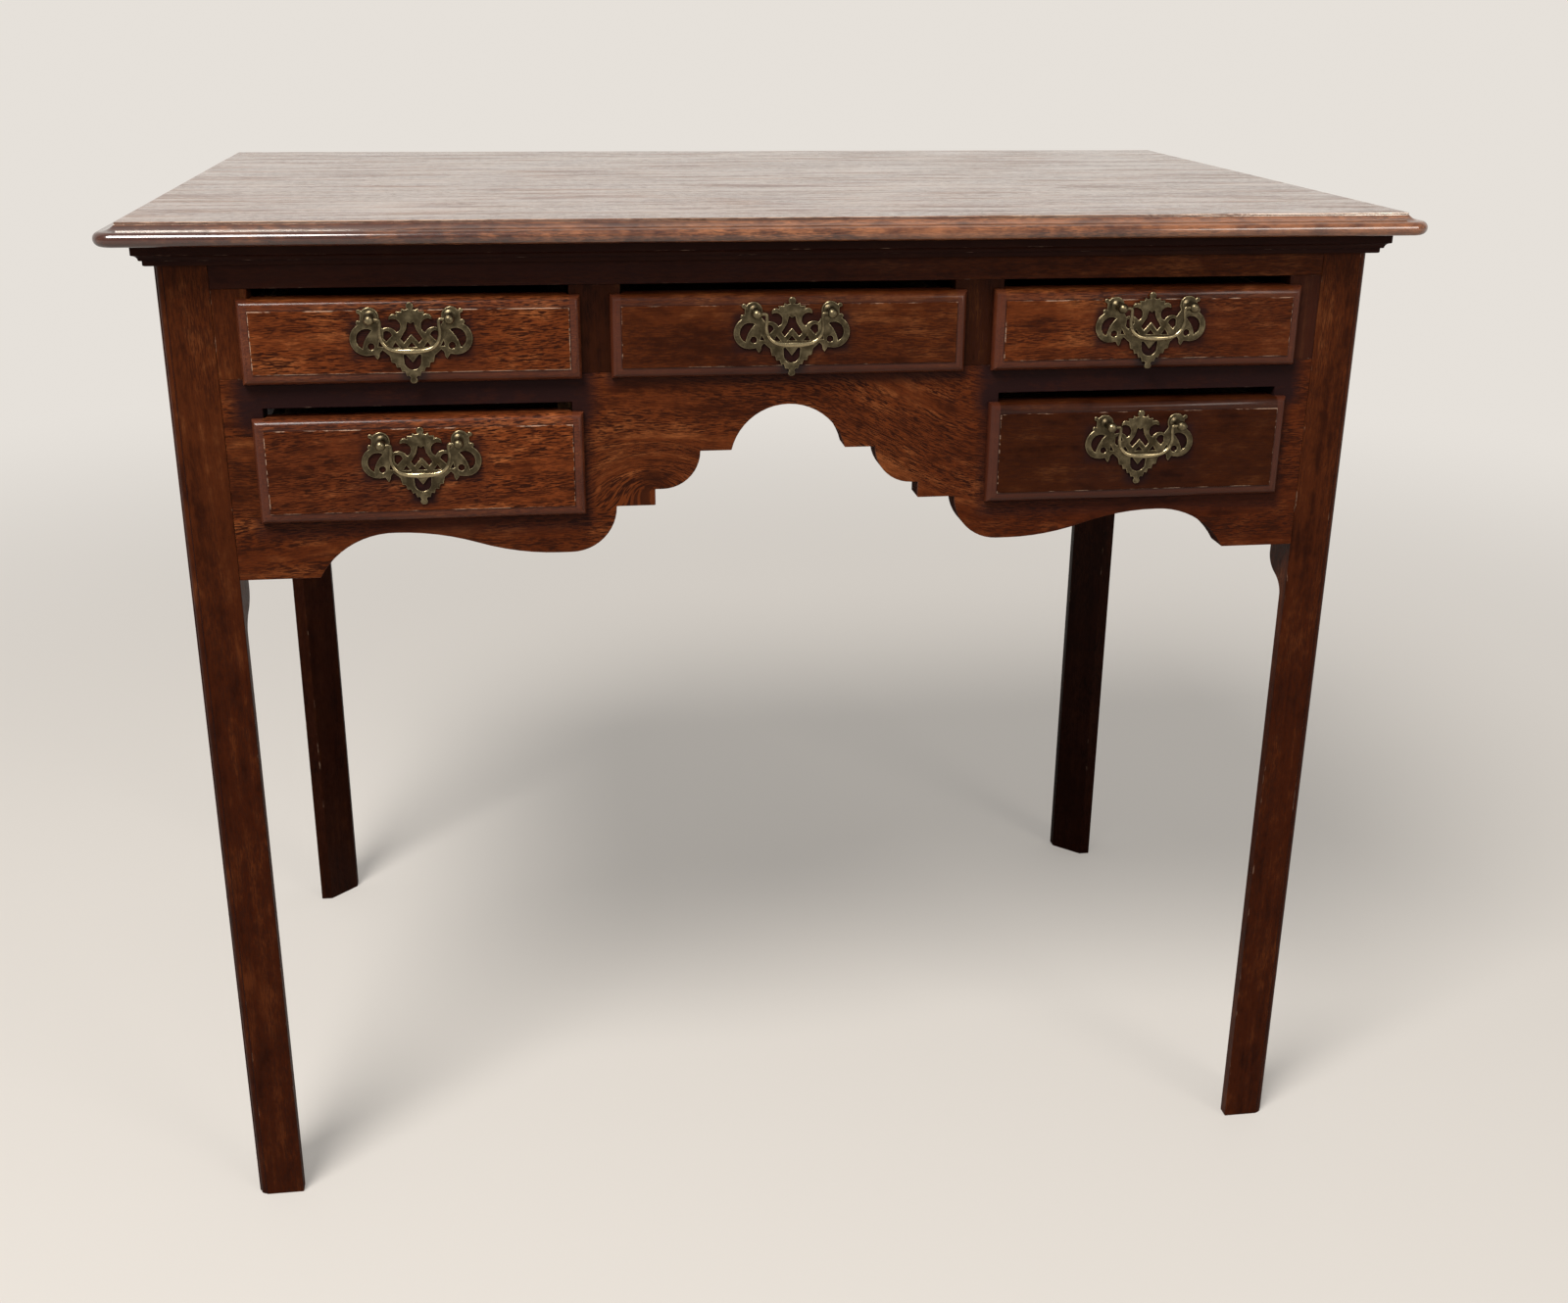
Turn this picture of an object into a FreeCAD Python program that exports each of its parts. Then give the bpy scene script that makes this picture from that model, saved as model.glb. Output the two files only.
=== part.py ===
import FreeCAD, Part
import math
import os
from FreeCAD import Rotation, Vector

# Oak lowboy: a moulded top over five lipped drawers with pierced brass handles, and an arched apron.
# Millimetres, X to the right, Y to the back, Z up. The origin is on the floor under the middle of the top.

# Overall
height = 720.0
carcase_width = 796.0
carcase_depth = 500.0
top_overhang = 29.0  # at the front and both ends; the back is flush

# Top board and the moulding on its edge
top_thickness = 14.0
top_mould_width = 13.0
top_quirk = 1.5
nose_radius = 4.5
top_hollow_sag = 0.9

# Bed mould under the top
bed_height = 14.0
bed_projection = 10.0
bed_fascia = 7.0
bed_hollow_radius = 3.6
bed_foot_projection = 4.6
bed_foot_rounding = 1.0

# Legs
leg_size = 33.0
bead_width = 6.0
bead_quirk = 1.2
chamfer_leaves = 9.5  # face left on each side of the inner chamfer
chamfer_stop = 15.5  # from the foot of the apron down to the end of the chamfer
lambs_tongue = 26.0

# Front frame, from the underside of the top downwards
frieze_height = 29.0
upper_opening_height = 57.0
band_height = 19.0  # wood between the upper and the lower drawers
lower_opening_height = 72.0
apron_rail_height = 42.5
rail_thickness = 20.0

# Front frame, from the middle outwards
centre_opening_width = 221.0
divider_width = 33.0
end_stile_width = 22.1
lower_end_width = 25.0  # wood between a lower drawer and the leg

# Apron outline, heights above its foot
arch_radius = 39.5
arch_rise = 110.0
arch_ledge_rise = 79.5
arch_ledge_width = 21.0
quarter_radius = 25.5
quarter_fillet = 5.0
step_rise = 43.0
step_width = 26.0
lobe_radius = 31.0
trough_width = 8.0
crest_rise = 29.3
hollow_width = 51.0
hollow_sag = 8.2
foot_width = 52.0

# Block let in at the left end of the apron board
block_height = 54.0

# Panels
side_panel_thickness = 16.0
side_panel_inset = 3.0
back_panel_thickness = 12.0
back_panel_inset = 4.0
back_panel_margin = 11.0  # below the lower runners

# Tongues and stub tenons
tongue_thickness = 8.0
tongue_depth = 8.0
tongue_shoulder = 4.0

# Glue blocks under the top
corner_block_size = 18.0
corner_block_length = 60.0
corner_block_distance = 150.0

# Drawer supports
runner_height = 18.0
runner_reach = 10.0  # how far a runner passes under the drawer
guide_height = 20.0
slim_guide_width = 8.5
kicker_height = 16.0

# Drawer fronts
field_projection = 9.0
front_body_thickness = 11.0
lip_overlap = 7.0
lip_drop = 3.0
lip_gap = 0.3
front_headroom = 6.0
mould_width = 7.0
mould_quirk = 1.2
mould_height = 4.3

# Drawer boxes
side_clearance = 1.0
sill_clearance = 0.3
drawer_side_thickness = 8.0
drawer_back_thickness = 8.0
drawer_bottom_thickness = 6.0
drawer_length = 430.0
side_step_down = 4.0  # from the top of the front to the top of the sides
bottom_groove_height = 6.0
bottom_groove_depth = 3.0
front_tail_length = 9.0
tail_pitch = 18.0
tail_narrow_share = 0.5  # of the pitch, where a tail is narrowest
tail_slope = 1.0 / 6.0

# Handles
plate_thickness = 1.6
post_spacing = 49.0
post_rise = 0.343 * post_spacing  # above the middle of the plate
post_standoff = 12.0  # from the plate to the axis of the bail
stem_width = 4.0
stem_clearance = 0.1
stem_past_nut = 1.5
post_sides = 8
post_foot_radius = 4.0
neck_radius = 2.0
ball_radius = 3.4
bail_pin_radius = 1.1
bail_pin_clearance = 0.07
bail_pin_past_middle = 0.6
bail_pin_end_gap = 0.3
bail_arm_gap = 1.8  # between an arm and the ball beside it
bail_thickness = 2.4
bail_drop = 19.6
bail_bend_radius = 11.2
grip_length = 20.0
grip_swelling = 4.2
file_cut = 3.5  # length of the straight cuts that follow the curves of plates and bails
nut_width = 8.0
nut_thickness = 2.5
upper_plate_drop = 27.7  # from the top of the front to the middle of the plate
lower_plate_drop = 31.5

# Levels
carcase_top = height - top_thickness
upper_head = carcase_top - frieze_height
upper_sill = upper_head - upper_opening_height
lower_head = upper_sill - band_height
lower_sill = lower_head - lower_opening_height
apron_foot = lower_sill - apron_rail_height

# Places across the width
leg_outer = carcase_width / 2
leg_inner = leg_outer - leg_size
centre_edge = centre_opening_width / 2
side_edge = centre_edge + divider_width
upper_far_edge = leg_inner - end_stile_width
lower_far_edge = leg_inner - lower_end_width
panel_outer = leg_outer - side_panel_inset
panel_inner = panel_outer - side_panel_thickness

# Places in depth
face = top_overhang - (carcase_depth + top_overhang) / 2
carcase_back = face + carcase_depth
frame_back = face + rail_thickness
back_panel_back = carcase_back - back_panel_inset
back_panel_front = back_panel_back - back_panel_thickness

# Directions
RIGHT = Vector(1, 0, 0)
BACK = Vector(0, 1, 0)
UP = Vector(0, 0, 1)
ORIGIN = Vector(0, 0, 0)


# Shapes and where they go


def box(x, y, z):
    """A box from its (low, high) spans along the three axes."""
    return Part.makeBox(x[1] - x[0], y[1] - y[0], z[1] - z[0], Vector(x[0], y[0], z[0]))


def moved(shape, x, y, z):
    copy = shape.copy()
    copy.translate(Vector(x, y, z))
    return copy


def set_up(shape, origin, along, up):
    """A shape with its own X and Y turned to two directions, and its origin moved."""
    copy = shape.copy()
    turn = FreeCAD.Placement(origin, Rotation(along, up, along.cross(up), "XYZ"))
    copy.Placement = turn.multiply(shape.Placement)
    return copy


def run(profile, middle, along, up, length):
    """A flat profile swept both ways from the middle of its run."""
    bar = moved(profile, 0, 0, -length / 2).extrude(UP * length)
    return set_up(bar, middle, along, up)


def sawn(outline, front, thickness):
    """A board sawn to an outline in X and Z."""
    return run(outline.face(), Vector(0, front + thickness / 2, 0), RIGHT, UP, thickness)


def flipped(shape):
    return shape.mirror(ORIGIN, RIGHT)


def both(shape):
    """A shape and its mirror image across the middle."""
    return [shape, flipped(shape)]


def end_tongues(spans, along, across):
    """Tongues for the two ends of a board, in the middle of its thickness and short of its edges."""
    section = [(low + tongue_shoulder, high - tongue_shoulder) for low, high in spans]
    middle = sum(spans[across]) / 2
    section[across] = (middle - tongue_thickness / 2, middle + tongue_thickness / 2)
    low, high = spans[along]
    tongues = []
    for reach in ((low - tongue_depth, low), (high, high + tongue_depth)):
        section[along] = reach
        tongues.append(box(*section))
    return tongues


def tongued(spans, along, across):
    """A plain board with a tongue on each end."""
    return box(*spans).fuse(end_tongues(spans, along, across)).removeSplitter()


class Outline:
    """A closed outline in the XY plane, drawn from point to point."""

    def __init__(self, x, y, scale=1.0, cut=None):
        self.scale = scale
        self.cut = cut
        self.edges = []
        self.at = self.start = Vector(x, y, 0) * scale

    def line(self, *points):
        for x, y in points:
            end = Vector(x, y, 0) * self.scale
            self.edges.append(Part.makeLine(self.at, end))
            self.at = end
        return self

    def arc(self, through, end):
        """An arc through one point to another, in straight cuts if the outline has them."""
        last = Vector(*end, 0) * self.scale
        curve = Part.Arc(self.at, Vector(*through, 0) * self.scale, last).toShape()
        if self.cut:
            corners = curve.discretize(max(2, round(curve.Length / self.cut)) + 1)
            self.edges += [Part.makeLine(*ends) for ends in zip(corners, corners[1:])]
        else:
            self.edges.append(curve)
        self.at = last
        return self

    def bow(self, end, sag):
        """An arc that stands off its chord by sag, to the left where that is positive."""
        start = self.at / self.scale
        chord = Vector(*end, 0) - start
        through = start + chord / 2 + UP.cross(chord).normalize() * sag
        return self.arc((through.x, through.y), end)

    def bend(self, centre, radius, first, last):
        """An arc about a centre, from one angle to another in degrees."""
        ends = []
        for angle in ((first + last) / 2, last):
            turn = math.radians(angle)
            ends.append((centre[0] + radius * math.cos(turn), centre[1] + radius * math.sin(turn)))
        return self.arc(*ends)

    def ogee(self, end, heading):
        """Two equal arcs that start and finish along one direction."""
        start = self.at / self.scale
        half = (Vector(*end, 0) - start) / 2
        middle = start + half
        turn = math.atan2(heading.cross(half).z, heading.dot(half))
        sag = half.Length / 2 * math.tan(turn / 2)
        return self.bow((middle.x, middle.y), -sag).bow(end, sag)

    def face(self):
        edges = list(self.edges)
        if not self.at.isEqual(self.start, 1e-6):
            edges.append(Part.makeLine(self.at, self.start))
        return Part.Face(Part.Wire(edges))


# Carcase


def top_profile():
    """Edge moulding of the top: X outwards from the flat, Y up from the underside."""
    nose_centre = top_mould_width - nose_radius
    outline = Outline(0, 0).line((nose_centre, 0))
    outline.bend((nose_centre, nose_radius), nose_radius, -90, 90)
    outline.bow((0, top_thickness - top_quirk), top_hollow_sag)
    return outline.face()


def make_top_board():
    """The flat, the moulding on three edges, and its turns round the two front corners."""
    flat_x = leg_outer + top_overhang - top_mould_width
    flat_front = face - top_overhang + top_mould_width
    flat = box((-flat_x, flat_x), (flat_front, carcase_back), (carcase_top, height))
    section = top_profile()
    front = run(section, Vector(0, flat_front, carcase_top), -BACK, UP, 2 * flat_x)
    middle = Vector(flat_x, (flat_front + carcase_back) / 2, carcase_top)
    end = run(section, middle, RIGHT, UP, carcase_back - flat_front)
    corner_at = Vector(flat_x, flat_front, carcase_top)
    corner = set_up(section, corner_at, RIGHT, UP).revolve(corner_at, UP, -90)
    return flat.fuse([front, *both(end), *both(corner)]).removeSplitter()


def bed_profile():
    """Bed mould: X outwards from the carcase, Y up from its lower edge."""
    hollow_foot = bed_height - bed_fascia - bed_hollow_radius
    outline = Outline(0, 0).line((bed_foot_projection - bed_foot_rounding, 0))
    outline.bend((bed_foot_projection - bed_foot_rounding, bed_foot_rounding), bed_foot_rounding, -90, 0)
    outline.line((bed_foot_projection, hollow_foot), (bed_projection - bed_hollow_radius, hollow_foot))
    outline.bend((bed_projection, hollow_foot), bed_hollow_radius, 180, 90)
    outline.line((bed_projection, bed_height), (0, bed_height))
    return outline.face()


def make_bed_moulds():
    """A front length and two returns, mitred at the front corners and backed by the panels."""
    bottom = carcase_top - bed_height
    reach = leg_outer + bed_projection
    front_edge = face - bed_projection
    section = bed_profile()
    front = run(section, Vector(0, face, bottom), -BACK, UP, 2 * reach)
    middle = Vector(leg_outer, (front_edge + carcase_back) / 2, bottom)
    end = run(section, middle, RIGHT, UP, carcase_back - front_edge)
    mitre = Outline(leg_outer, face)
    mitre.line((reach, front_edge), (reach, carcase_back), (leg_outer, carcase_back))
    beside = mitre.face().extrude(UP * height)
    between_legs = (face + leg_size, carcase_back - leg_size)
    backing = box((panel_outer, leg_outer), between_legs, (bottom, carcase_top))
    right = end.common(beside).fuse(backing).removeSplitter()
    return front.cut(both(beside)), flipped(right), right


def make_leg(beaded):
    """A leg with its outer corner at the origin and its inner corner at (leg_size, leg_size)."""
    leg = box((0, leg_size), (0, leg_size), (0, carcase_top))
    if beaded:
        corner = box((0, bead_width), (0, bead_width), (0, carcase_top))
        bead = Part.makeCylinder(bead_width - bead_quirk, carcase_top, Vector(bead_width, bead_width, 0))
        leg = leg.cut(corner.cut(bead))
    depth = (leg_size - chamfer_leaves) / math.sqrt(2)
    stop = apron_foot - chamfer_stop
    outline = Outline(-depth, 0).line((depth, 0), (depth, stop - lambs_tongue))
    outline.ogee((0, stop), Vector(0, 1, 0)).line((-depth, stop))
    outwards = Vector(-1, -1, 0).normalize()
    return leg.cut(run(outline.face(), Vector(leg_size, leg_size, 0), outwards, UP, 4 * leg_size))


def make_legs():
    front = moved(make_leg(beaded=True), -leg_outer, face, 0)
    back = make_leg(beaded=False).mirror(ORIGIN, BACK)
    back = moved(back, -leg_outer, carcase_back, 0)
    return {
        "front_left_leg": front,
        "front_right_leg": flipped(front),
        "back_left_leg": back,
        "back_right_leg": flipped(back),
    }


def apron_half():
    """Right-hand half of the apron's outline: arch, quarter round, lobe, wave and hollow down to the foot."""
    arch_centre = arch_rise - arch_radius
    arch_angle = math.asin((arch_ledge_rise - arch_centre) / arch_radius)
    arch_edge = arch_radius * math.cos(arch_angle)
    quarter_centre = arch_edge + arch_ledge_width + quarter_radius
    step_edge = quarter_centre + quarter_fillet
    lobe_edge = step_edge + step_width
    lobe_centre = lobe_edge + lobe_radius
    crest = leg_inner - foot_width - hollow_width
    board_top = upper_sill - apron_foot

    outline = Outline(0, arch_rise)
    outline.bend((0, arch_centre), arch_radius, 90, math.degrees(arch_angle))
    outline.line((quarter_centre - quarter_radius, arch_ledge_rise))
    outline.bend((quarter_centre, arch_ledge_rise), quarter_radius, 180, 270)
    outline.line((step_edge, arch_ledge_rise - quarter_radius))
    outline.line((step_edge, step_rise), (lobe_edge, step_rise))
    outline.bend((lobe_centre, step_rise), lobe_radius, 180, 270)
    outline.line((lobe_centre + trough_width, step_rise - lobe_radius))
    outline.ogee((crest, crest_rise), RIGHT)
    outline.bow((leg_inner - foot_width, 0), hollow_sag)
    outline.line((leg_inner, 0), (leg_inner, board_top), (0, board_top))
    return outline


def make_apron():
    """The wide board with the lower drawers' openings, and the block let in at its left end."""
    half = moved(sawn(apron_half(), face, rail_thickness), 0, 0, apron_foot)
    half = half.cut(box((side_edge, lower_far_edge), (face, frame_back), (lower_sill, lower_head)))
    spans = [(-leg_inner, leg_inner), (face, frame_back), (apron_foot, upper_sill)]
    whole = half.fuse([flipped(half), *end_tongues(spans, 0, 1)]).removeSplitter()
    patch = box((-leg_outer, -lower_far_edge), (face, frame_back), (lower_sill, lower_sill + block_height))
    return whole.cut(patch), whole.common(patch)


def upright(low, high):
    """A stile or divider between the apron and the frieze rail, with stub tenons."""
    return tongued([(low, high), (face, frame_back), (upper_sill, upper_head)], 2, 1)


def make_side_panel():
    depth = (face + leg_size, carcase_back - leg_size)
    return tongued([(panel_inner, panel_outer), depth, (apron_foot, carcase_top)], 1, 0)


def make_back_panel():
    bottom = lower_sill - runner_height - back_panel_margin
    spans = [(-leg_inner, leg_inner), (back_panel_front, back_panel_back), (bottom, carcase_top)]
    return tongued(spans, 0, 1)


def make_supports():
    """Runners under the drawers' sides, guides beside them, and kickers over the upper ones."""
    length = (frame_back, back_panel_front)
    outer_upper = (upper_far_edge - runner_reach, leg_inner)
    outer_lower = (lower_far_edge - runner_reach, leg_inner)
    middle = (centre_edge - runner_reach, side_edge + runner_reach)
    inner_lower = (side_edge - slim_guide_width, side_edge + runner_reach)
    upper_runner = (upper_sill - runner_height, upper_sill)
    lower_runner = (lower_sill - runner_height, lower_sill)
    upper_guide = (upper_sill, upper_sill + guide_height)
    lower_guide = (lower_sill, lower_sill + guide_height)
    kicker = (upper_head, upper_head + kicker_height)
    return {
        "drawer_runners": [
            *both(box(outer_upper, length, upper_runner)),
            *both(box(middle, length, upper_runner)),
            *both(box(outer_lower, length, lower_runner)),
            *both(box(inner_lower, length, lower_runner)),
        ],
        "drawer_guides": [
            *both(box((upper_far_edge, leg_inner), length, upper_guide)),
            *both(box((centre_edge, side_edge), length, upper_guide)),
            *both(box((lower_far_edge, leg_inner), length, lower_guide)),
            *both(box((side_edge - slim_guide_width, side_edge), length, lower_guide)),
        ],
        "drawer_kickers": [
            *both(box(outer_upper, length, kicker)),
            *both(box(middle, length, kicker)),
        ],
    }


def make_corner_blocks():
    """Three-cornered glue blocks between the side panels and the top."""
    inwards = panel_inner - corner_block_size
    downwards = carcase_top - corner_block_size
    outline = Outline(panel_inner, carcase_top).line((inwards, carcase_top), (panel_inner, downwards))
    middle = face + carcase_depth / 2
    blocks = []
    for y in (middle - corner_block_distance, middle + corner_block_distance):
        blocks += both(sawn(outline, y - corner_block_length / 2, corner_block_length))
    return blocks


def make_carcase():
    """Every fixed piece of wood, with mortises cut where tongues and tenons enter."""
    bed_front, bed_left, bed_right = make_bed_moulds()
    apron_board, apron_block = make_apron()
    end_stiles = both(upright(upper_far_edge, leg_inner))
    dividers = both(upright(centre_edge, side_edge))
    frieze_spans = [(-leg_inner, leg_inner), (face, frame_back), (upper_head, carcase_top)]
    frieze_rail = tongued(frieze_spans, 0, 1).cut(end_stiles + dividers)
    side_panel = make_side_panel()
    back_panel = make_back_panel()
    entering = [frieze_rail, apron_board, apron_block, *both(side_panel), back_panel]
    pieces = {
        "top_board": make_top_board(),
        "bed_mould_front": bed_front,
        "bed_mould_left": bed_left,
        "bed_mould_right": bed_right,
        "frieze_rail": frieze_rail,
        "end_stiles": end_stiles,
        "dividers": dividers,
        "apron_board": apron_board.cut(end_stiles + dividers),
        "apron_block": apron_block,
        "left_side_panel": flipped(side_panel),
        "right_side_panel": side_panel,
        "back_panel": back_panel,
        "corner_blocks": make_corner_blocks(),
    }
    for name, leg in make_legs().items():
        pieces[name] = leg.cut(entering)
    return {**pieces, **make_supports()}


# Drawer boxes


def tails(across, root, tip, low, high):
    """Dovetails along a board's end, as many as its height takes, wider at their tips."""
    count = max(1, round((high - low) / tail_pitch))
    pitch = (high - low) / count
    narrow = pitch * tail_narrow_share / 2
    wide = narrow + abs(tip - root) * tail_slope
    thickness = across[1] - across[0]
    wedges = []
    for number in range(count):
        middle = low + pitch * (number + 0.5)
        outline = Outline(root, middle - narrow)
        outline.line((tip, middle - wide), (tip, middle + wide), (root, middle + narrow))
        centre = Vector(across[0] + thickness / 2, 0, 0)
        wedges.append(run(outline.face(), centre, BACK, UP, thickness))
    return wedges


def waste_profile():
    """What the thumb moulding takes off an edge: X inwards from the edge, Y back from the field."""
    outline = Outline(0, 0).line((mould_width, 0), (mould_width, mould_quirk))
    round_sag = math.hypot(mould_width, mould_height) * (math.sqrt(2) - 1) / 2
    outline.bow((0, mould_quirk + mould_height), round_sag)
    return outline.face()


def make_front(half_opening, sill, top):
    """A front with a moulded edge all round, lips at its ends and foot, and a body inside the opening."""
    field = face - field_projection
    half = half_opening + lip_overlap
    bottom = sill - lip_drop
    middle = (bottom + top) / 2
    slab = box((-half, half), (field, face - lip_gap), (bottom, top))
    waste = waste_profile()
    slab = slab.cut(
        [
            *both(run(waste, Vector(half, field, middle), -RIGHT, BACK, top - bottom)),
            run(waste, Vector(0, field, bottom), UP, BACK, 2 * half),
            run(waste, Vector(0, field, top), -UP, BACK, 2 * half),
        ]
    )
    half_body = half_opening - side_clearance
    depth = (face - lip_gap, face + front_body_thickness)
    body = box((-half_body, half_body), depth, (sill + sill_clearance, top))
    return slab.fuse(body).removeSplitter()


def make_drawer_box(half_opening, sill, top):
    """Front, sides, back and bottom: lapped dovetails in front, through dovetails behind."""
    outer = half_opening - side_clearance
    inner = outer - drawer_side_thickness
    front_joint = face + front_body_thickness
    end = face + drawer_length
    back_joint = end - drawer_back_thickness
    low = sill + sill_clearance
    high = top - side_step_down
    groove = low + bottom_groove_height
    above = groove + drawer_bottom_thickness

    bottom_half = inner + bottom_groove_depth
    bottom_front = front_joint - bottom_groove_depth
    bottom = box((-bottom_half, bottom_half), (bottom_front, end), (groove, above))
    side = box((inner, outer), (front_joint, back_joint), (low, high))
    under_back = box((inner, outer), (back_joint, end), (low, above))
    front_tails = tails((inner, outer), front_joint, front_joint - front_tail_length, low, high)
    back_tails = tails((inner, outer), back_joint, end, above, high)
    side = side.fuse([under_back, *front_tails, *back_tails]).cut(bottom).removeSplitter()
    sides = both(side)
    back = box((-outer, outer), (back_joint, end), (above, high)).cut(sides)
    front = make_front(half_opening, sill, top).cut([*sides, bottom])
    return front, sides, back, bottom


# Handles, drawn round the middle of the plate where it lies on the drawer's front


def plate_outline():
    """Right-hand half of the plate, drawn with the posts 100 apart."""
    outline = Outline(0, 52.4, post_spacing / 100, file_cut)
    outline.line((4, 50.6), (4.9, 47.6), (3.1, 43.7), (6.9, 42.7), (10.4, 44.9), (11.4, 40.6))
    outline.line((18, 40.8), (17.6, 36.7))
    outline.arc((25.7, 35.9), (27.1, 29.8)).arc((13.5, 25.1), (18.4, 14.1))
    outline.arc((26.1, 20.4), (35.5, 19.2)).line((41.2, 27.3))
    outline.arc((43.3, 43.3), (51.4, 46.7)).line((61.2, 41.8), (68.2, 41.4), (64.3, 36.1), (64.3, 30.6))
    outline.line((69.6, 27.6), (67.3, 24)).arc((78.2, 5.1), (55.1, -15.5))
    outline.line((48.2, -14.7), (46.7, -17.6), (44.1, -21), (41.4, -17.1), (40.8, -12.2))
    outline.line((37.3, -8.6), (29, -15.9), (26.9, -24.9), (22.4, -25.7), (20.8, -31.8))
    outline.line((16.3, -31.4), (14.3, -37.6), (10.6, -36.7), (8.8, -42.9), (5.3, -42.7), (3.5, -45.3))
    return outline.line((4.1, -49), (2.9, -51.8), (0, -52.7))


def plate_piercings():
    """Openings of the plate: those on its middle line, then those on its right-hand side."""
    scale = post_spacing / 100
    chevron = Outline(0, 24.7, scale).line((3.9, 27.3), (6.3, 17.6), (13.9, 5.7), (9.6, 0.6), (0, 11.8))
    chevron.line((-9.6, 0.6), (-13.9, 5.7), (-6.3, 17.6), (-3.9, 27.3))
    triangle = Outline(0, 1.2, scale).line((5.3, -5.1), (-5.3, -5.1))
    tongue = Outline(11.2, -15.1, scale, file_cut).line((10.6, -23.5)).arc((0, -34.5), (-10.6, -23.5))
    tongue.line((-11.2, -15.1), (-8.2, -15.1), (0, -25.3), (8.2, -15.1))
    dart = Outline(20.4, 1.2, scale).line((24.5, -5.3), (15.5, -5.3))
    shield = Outline(24.5, 10, scale).line((28.6, 15.5), (34.7, 14.9), (35.3, 6.9), (31.8, 2.4))
    crescent = Outline(49.8, 16.9, scale, file_cut).arc((69.2, 9.4), (62.4, -6.1))
    crescent.arc((58.6, 5.3), (49.8, 16.9))
    eye = Outline(56, -3.7, scale).line((51.4, 1.4), (46.8, -3.7), (51.4, -8.8))
    slot = Outline(36.7, -4.5, scale).line((42, -3.9), (40.8, 2.4))
    return [chevron, triangle, tongue], [dart, shield, crescent, eye, slot]


def at_posts(shape):
    """A shape made at the origin, at both posts."""
    return both(moved(shape, post_spacing / 2, 0, post_rise))


def stems(clearance, front, back):
    """The posts' square stems, or the holes that they pass through, between two depths."""
    half = stem_width / 2 + clearance
    return at_posts(box((-half, half), (front, back), (-half, half)))


def stem_holes():
    back = field_projection + front_body_thickness + nut_thickness
    return stems(stem_clearance, -plate_thickness, back)


def make_plate():
    half = sawn(plate_outline(), -plate_thickness, plate_thickness)
    central, lateral = plate_piercings()
    holes = [sawn(outline, -plate_thickness, plate_thickness) for outline in central]
    for outline in lateral:
        holes += both(sawn(outline, -plate_thickness, plate_thickness))
    return half.fuse(flipped(half)).removeSplitter().cut([*holes, *stem_holes()])


def post_ring(radius, reach):
    """Corners of a ring of flats round a post, by its distance from the middle and its reach."""
    half_turn = math.pi / post_sides
    corner = radius / math.cos(half_turn)
    turns = [half_turn * (2 * number + 1) for number in range(post_sides)]
    depth = -plate_thickness - reach
    return [Vector(corner * math.cos(turn), depth, corner * math.sin(turn)) for turn in turns]


def flat_sided(rings):
    """A solid with flat sides between rings of corners, closed at both ends."""
    outlines = [rings[0], rings[-1]]
    for low, high in zip(rings, rings[1:]):
        for side in range(len(low)):
            outlines.append([low[side - 1], low[side], high[side], high[side - 1]])
    faces = [Part.Face(Part.makePolygon([*corners, corners[0]])) for corners in outlines]
    return Part.Solid(Part.Shell(faces))


def make_posts():
    """Posts with a square stem through the drawer's front, a flared foot and a ball bored for the bail."""
    wide = ball_radius * math.tan(math.pi / post_sides)
    knob = flat_sided(
        [
            post_ring(post_foot_radius, 0),
            post_ring(neck_radius, post_standoff - ball_radius),
            post_ring(ball_radius, post_standoff - wide),
            post_ring(ball_radius, post_standoff + wide),
            post_ring(wide, post_standoff + ball_radius),
        ]
    )
    bore_depth = ball_radius + bail_pin_past_middle + bail_pin_end_gap
    mouth = Vector(-ball_radius, -plate_thickness - post_standoff, 0)
    bore = Part.makeCylinder(bail_pin_radius + bail_pin_clearance, bore_depth, mouth, RIGHT)
    stem_end = field_projection + front_body_thickness + nut_thickness + stem_past_nut
    joined = zip(at_posts(knob.cut(bore)), stems(0, -plate_thickness, stem_end))
    return [outside.fuse(stem) for outside, stem in joined]


def make_bail():
    """A bail whose two pins turn in the balls, swelling to a grip in the middle of its bar."""
    half = bail_thickness / 2
    axis = -plate_thickness - post_standoff
    arm = post_spacing / 2 - ball_radius - bail_arm_gap - half
    bar = post_rise - bail_drop
    bend_x = arm - bail_bend_radius
    bend_z = bar + bail_bend_radius
    top = post_rise + half
    outline = Outline(arm + half, top, cut=file_cut).line((arm - half, top), (arm - half, bend_z))
    outline.bend((bend_x, bend_z), bail_bend_radius - half, 0, -90).line((-bend_x, bar + half))
    outline.bend((-bend_x, bend_z), bail_bend_radius - half, -90, -180)
    outline.line((half - arm, top), (-arm - half, top), (-arm - half, bend_z))
    outline.bend((-bend_x, bend_z), bail_bend_radius + half, 180, 270).line((bend_x, bar - half))
    outline.bend((bend_x, bend_z), bail_bend_radius + half, -90, 0)
    grip = Outline(-grip_length / 2, bar, cut=file_cut).bow((grip_length / 2, bar), grip_swelling / 2)
    grip.bow((-grip_length / 2, bar), grip_swelling / 2)
    bow, swelling = (sawn(flat, axis - half, bail_thickness) for flat in (outline, grip))
    pin_length = post_spacing / 2 + bail_pin_past_middle - arm
    pin = Part.makeCylinder(bail_pin_radius, pin_length, Vector(arm, axis, post_rise), RIGHT)
    return bow.fuse([swelling, *both(pin)]).removeSplitter()


def make_nuts():
    half = nut_width / 2
    back = field_projection + front_body_thickness
    nut = box((-half, half), (back, back + nut_thickness), (-half, half))
    return [solid.cut(stem_holes()) for solid in at_posts(nut)]


# Drawers


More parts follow.
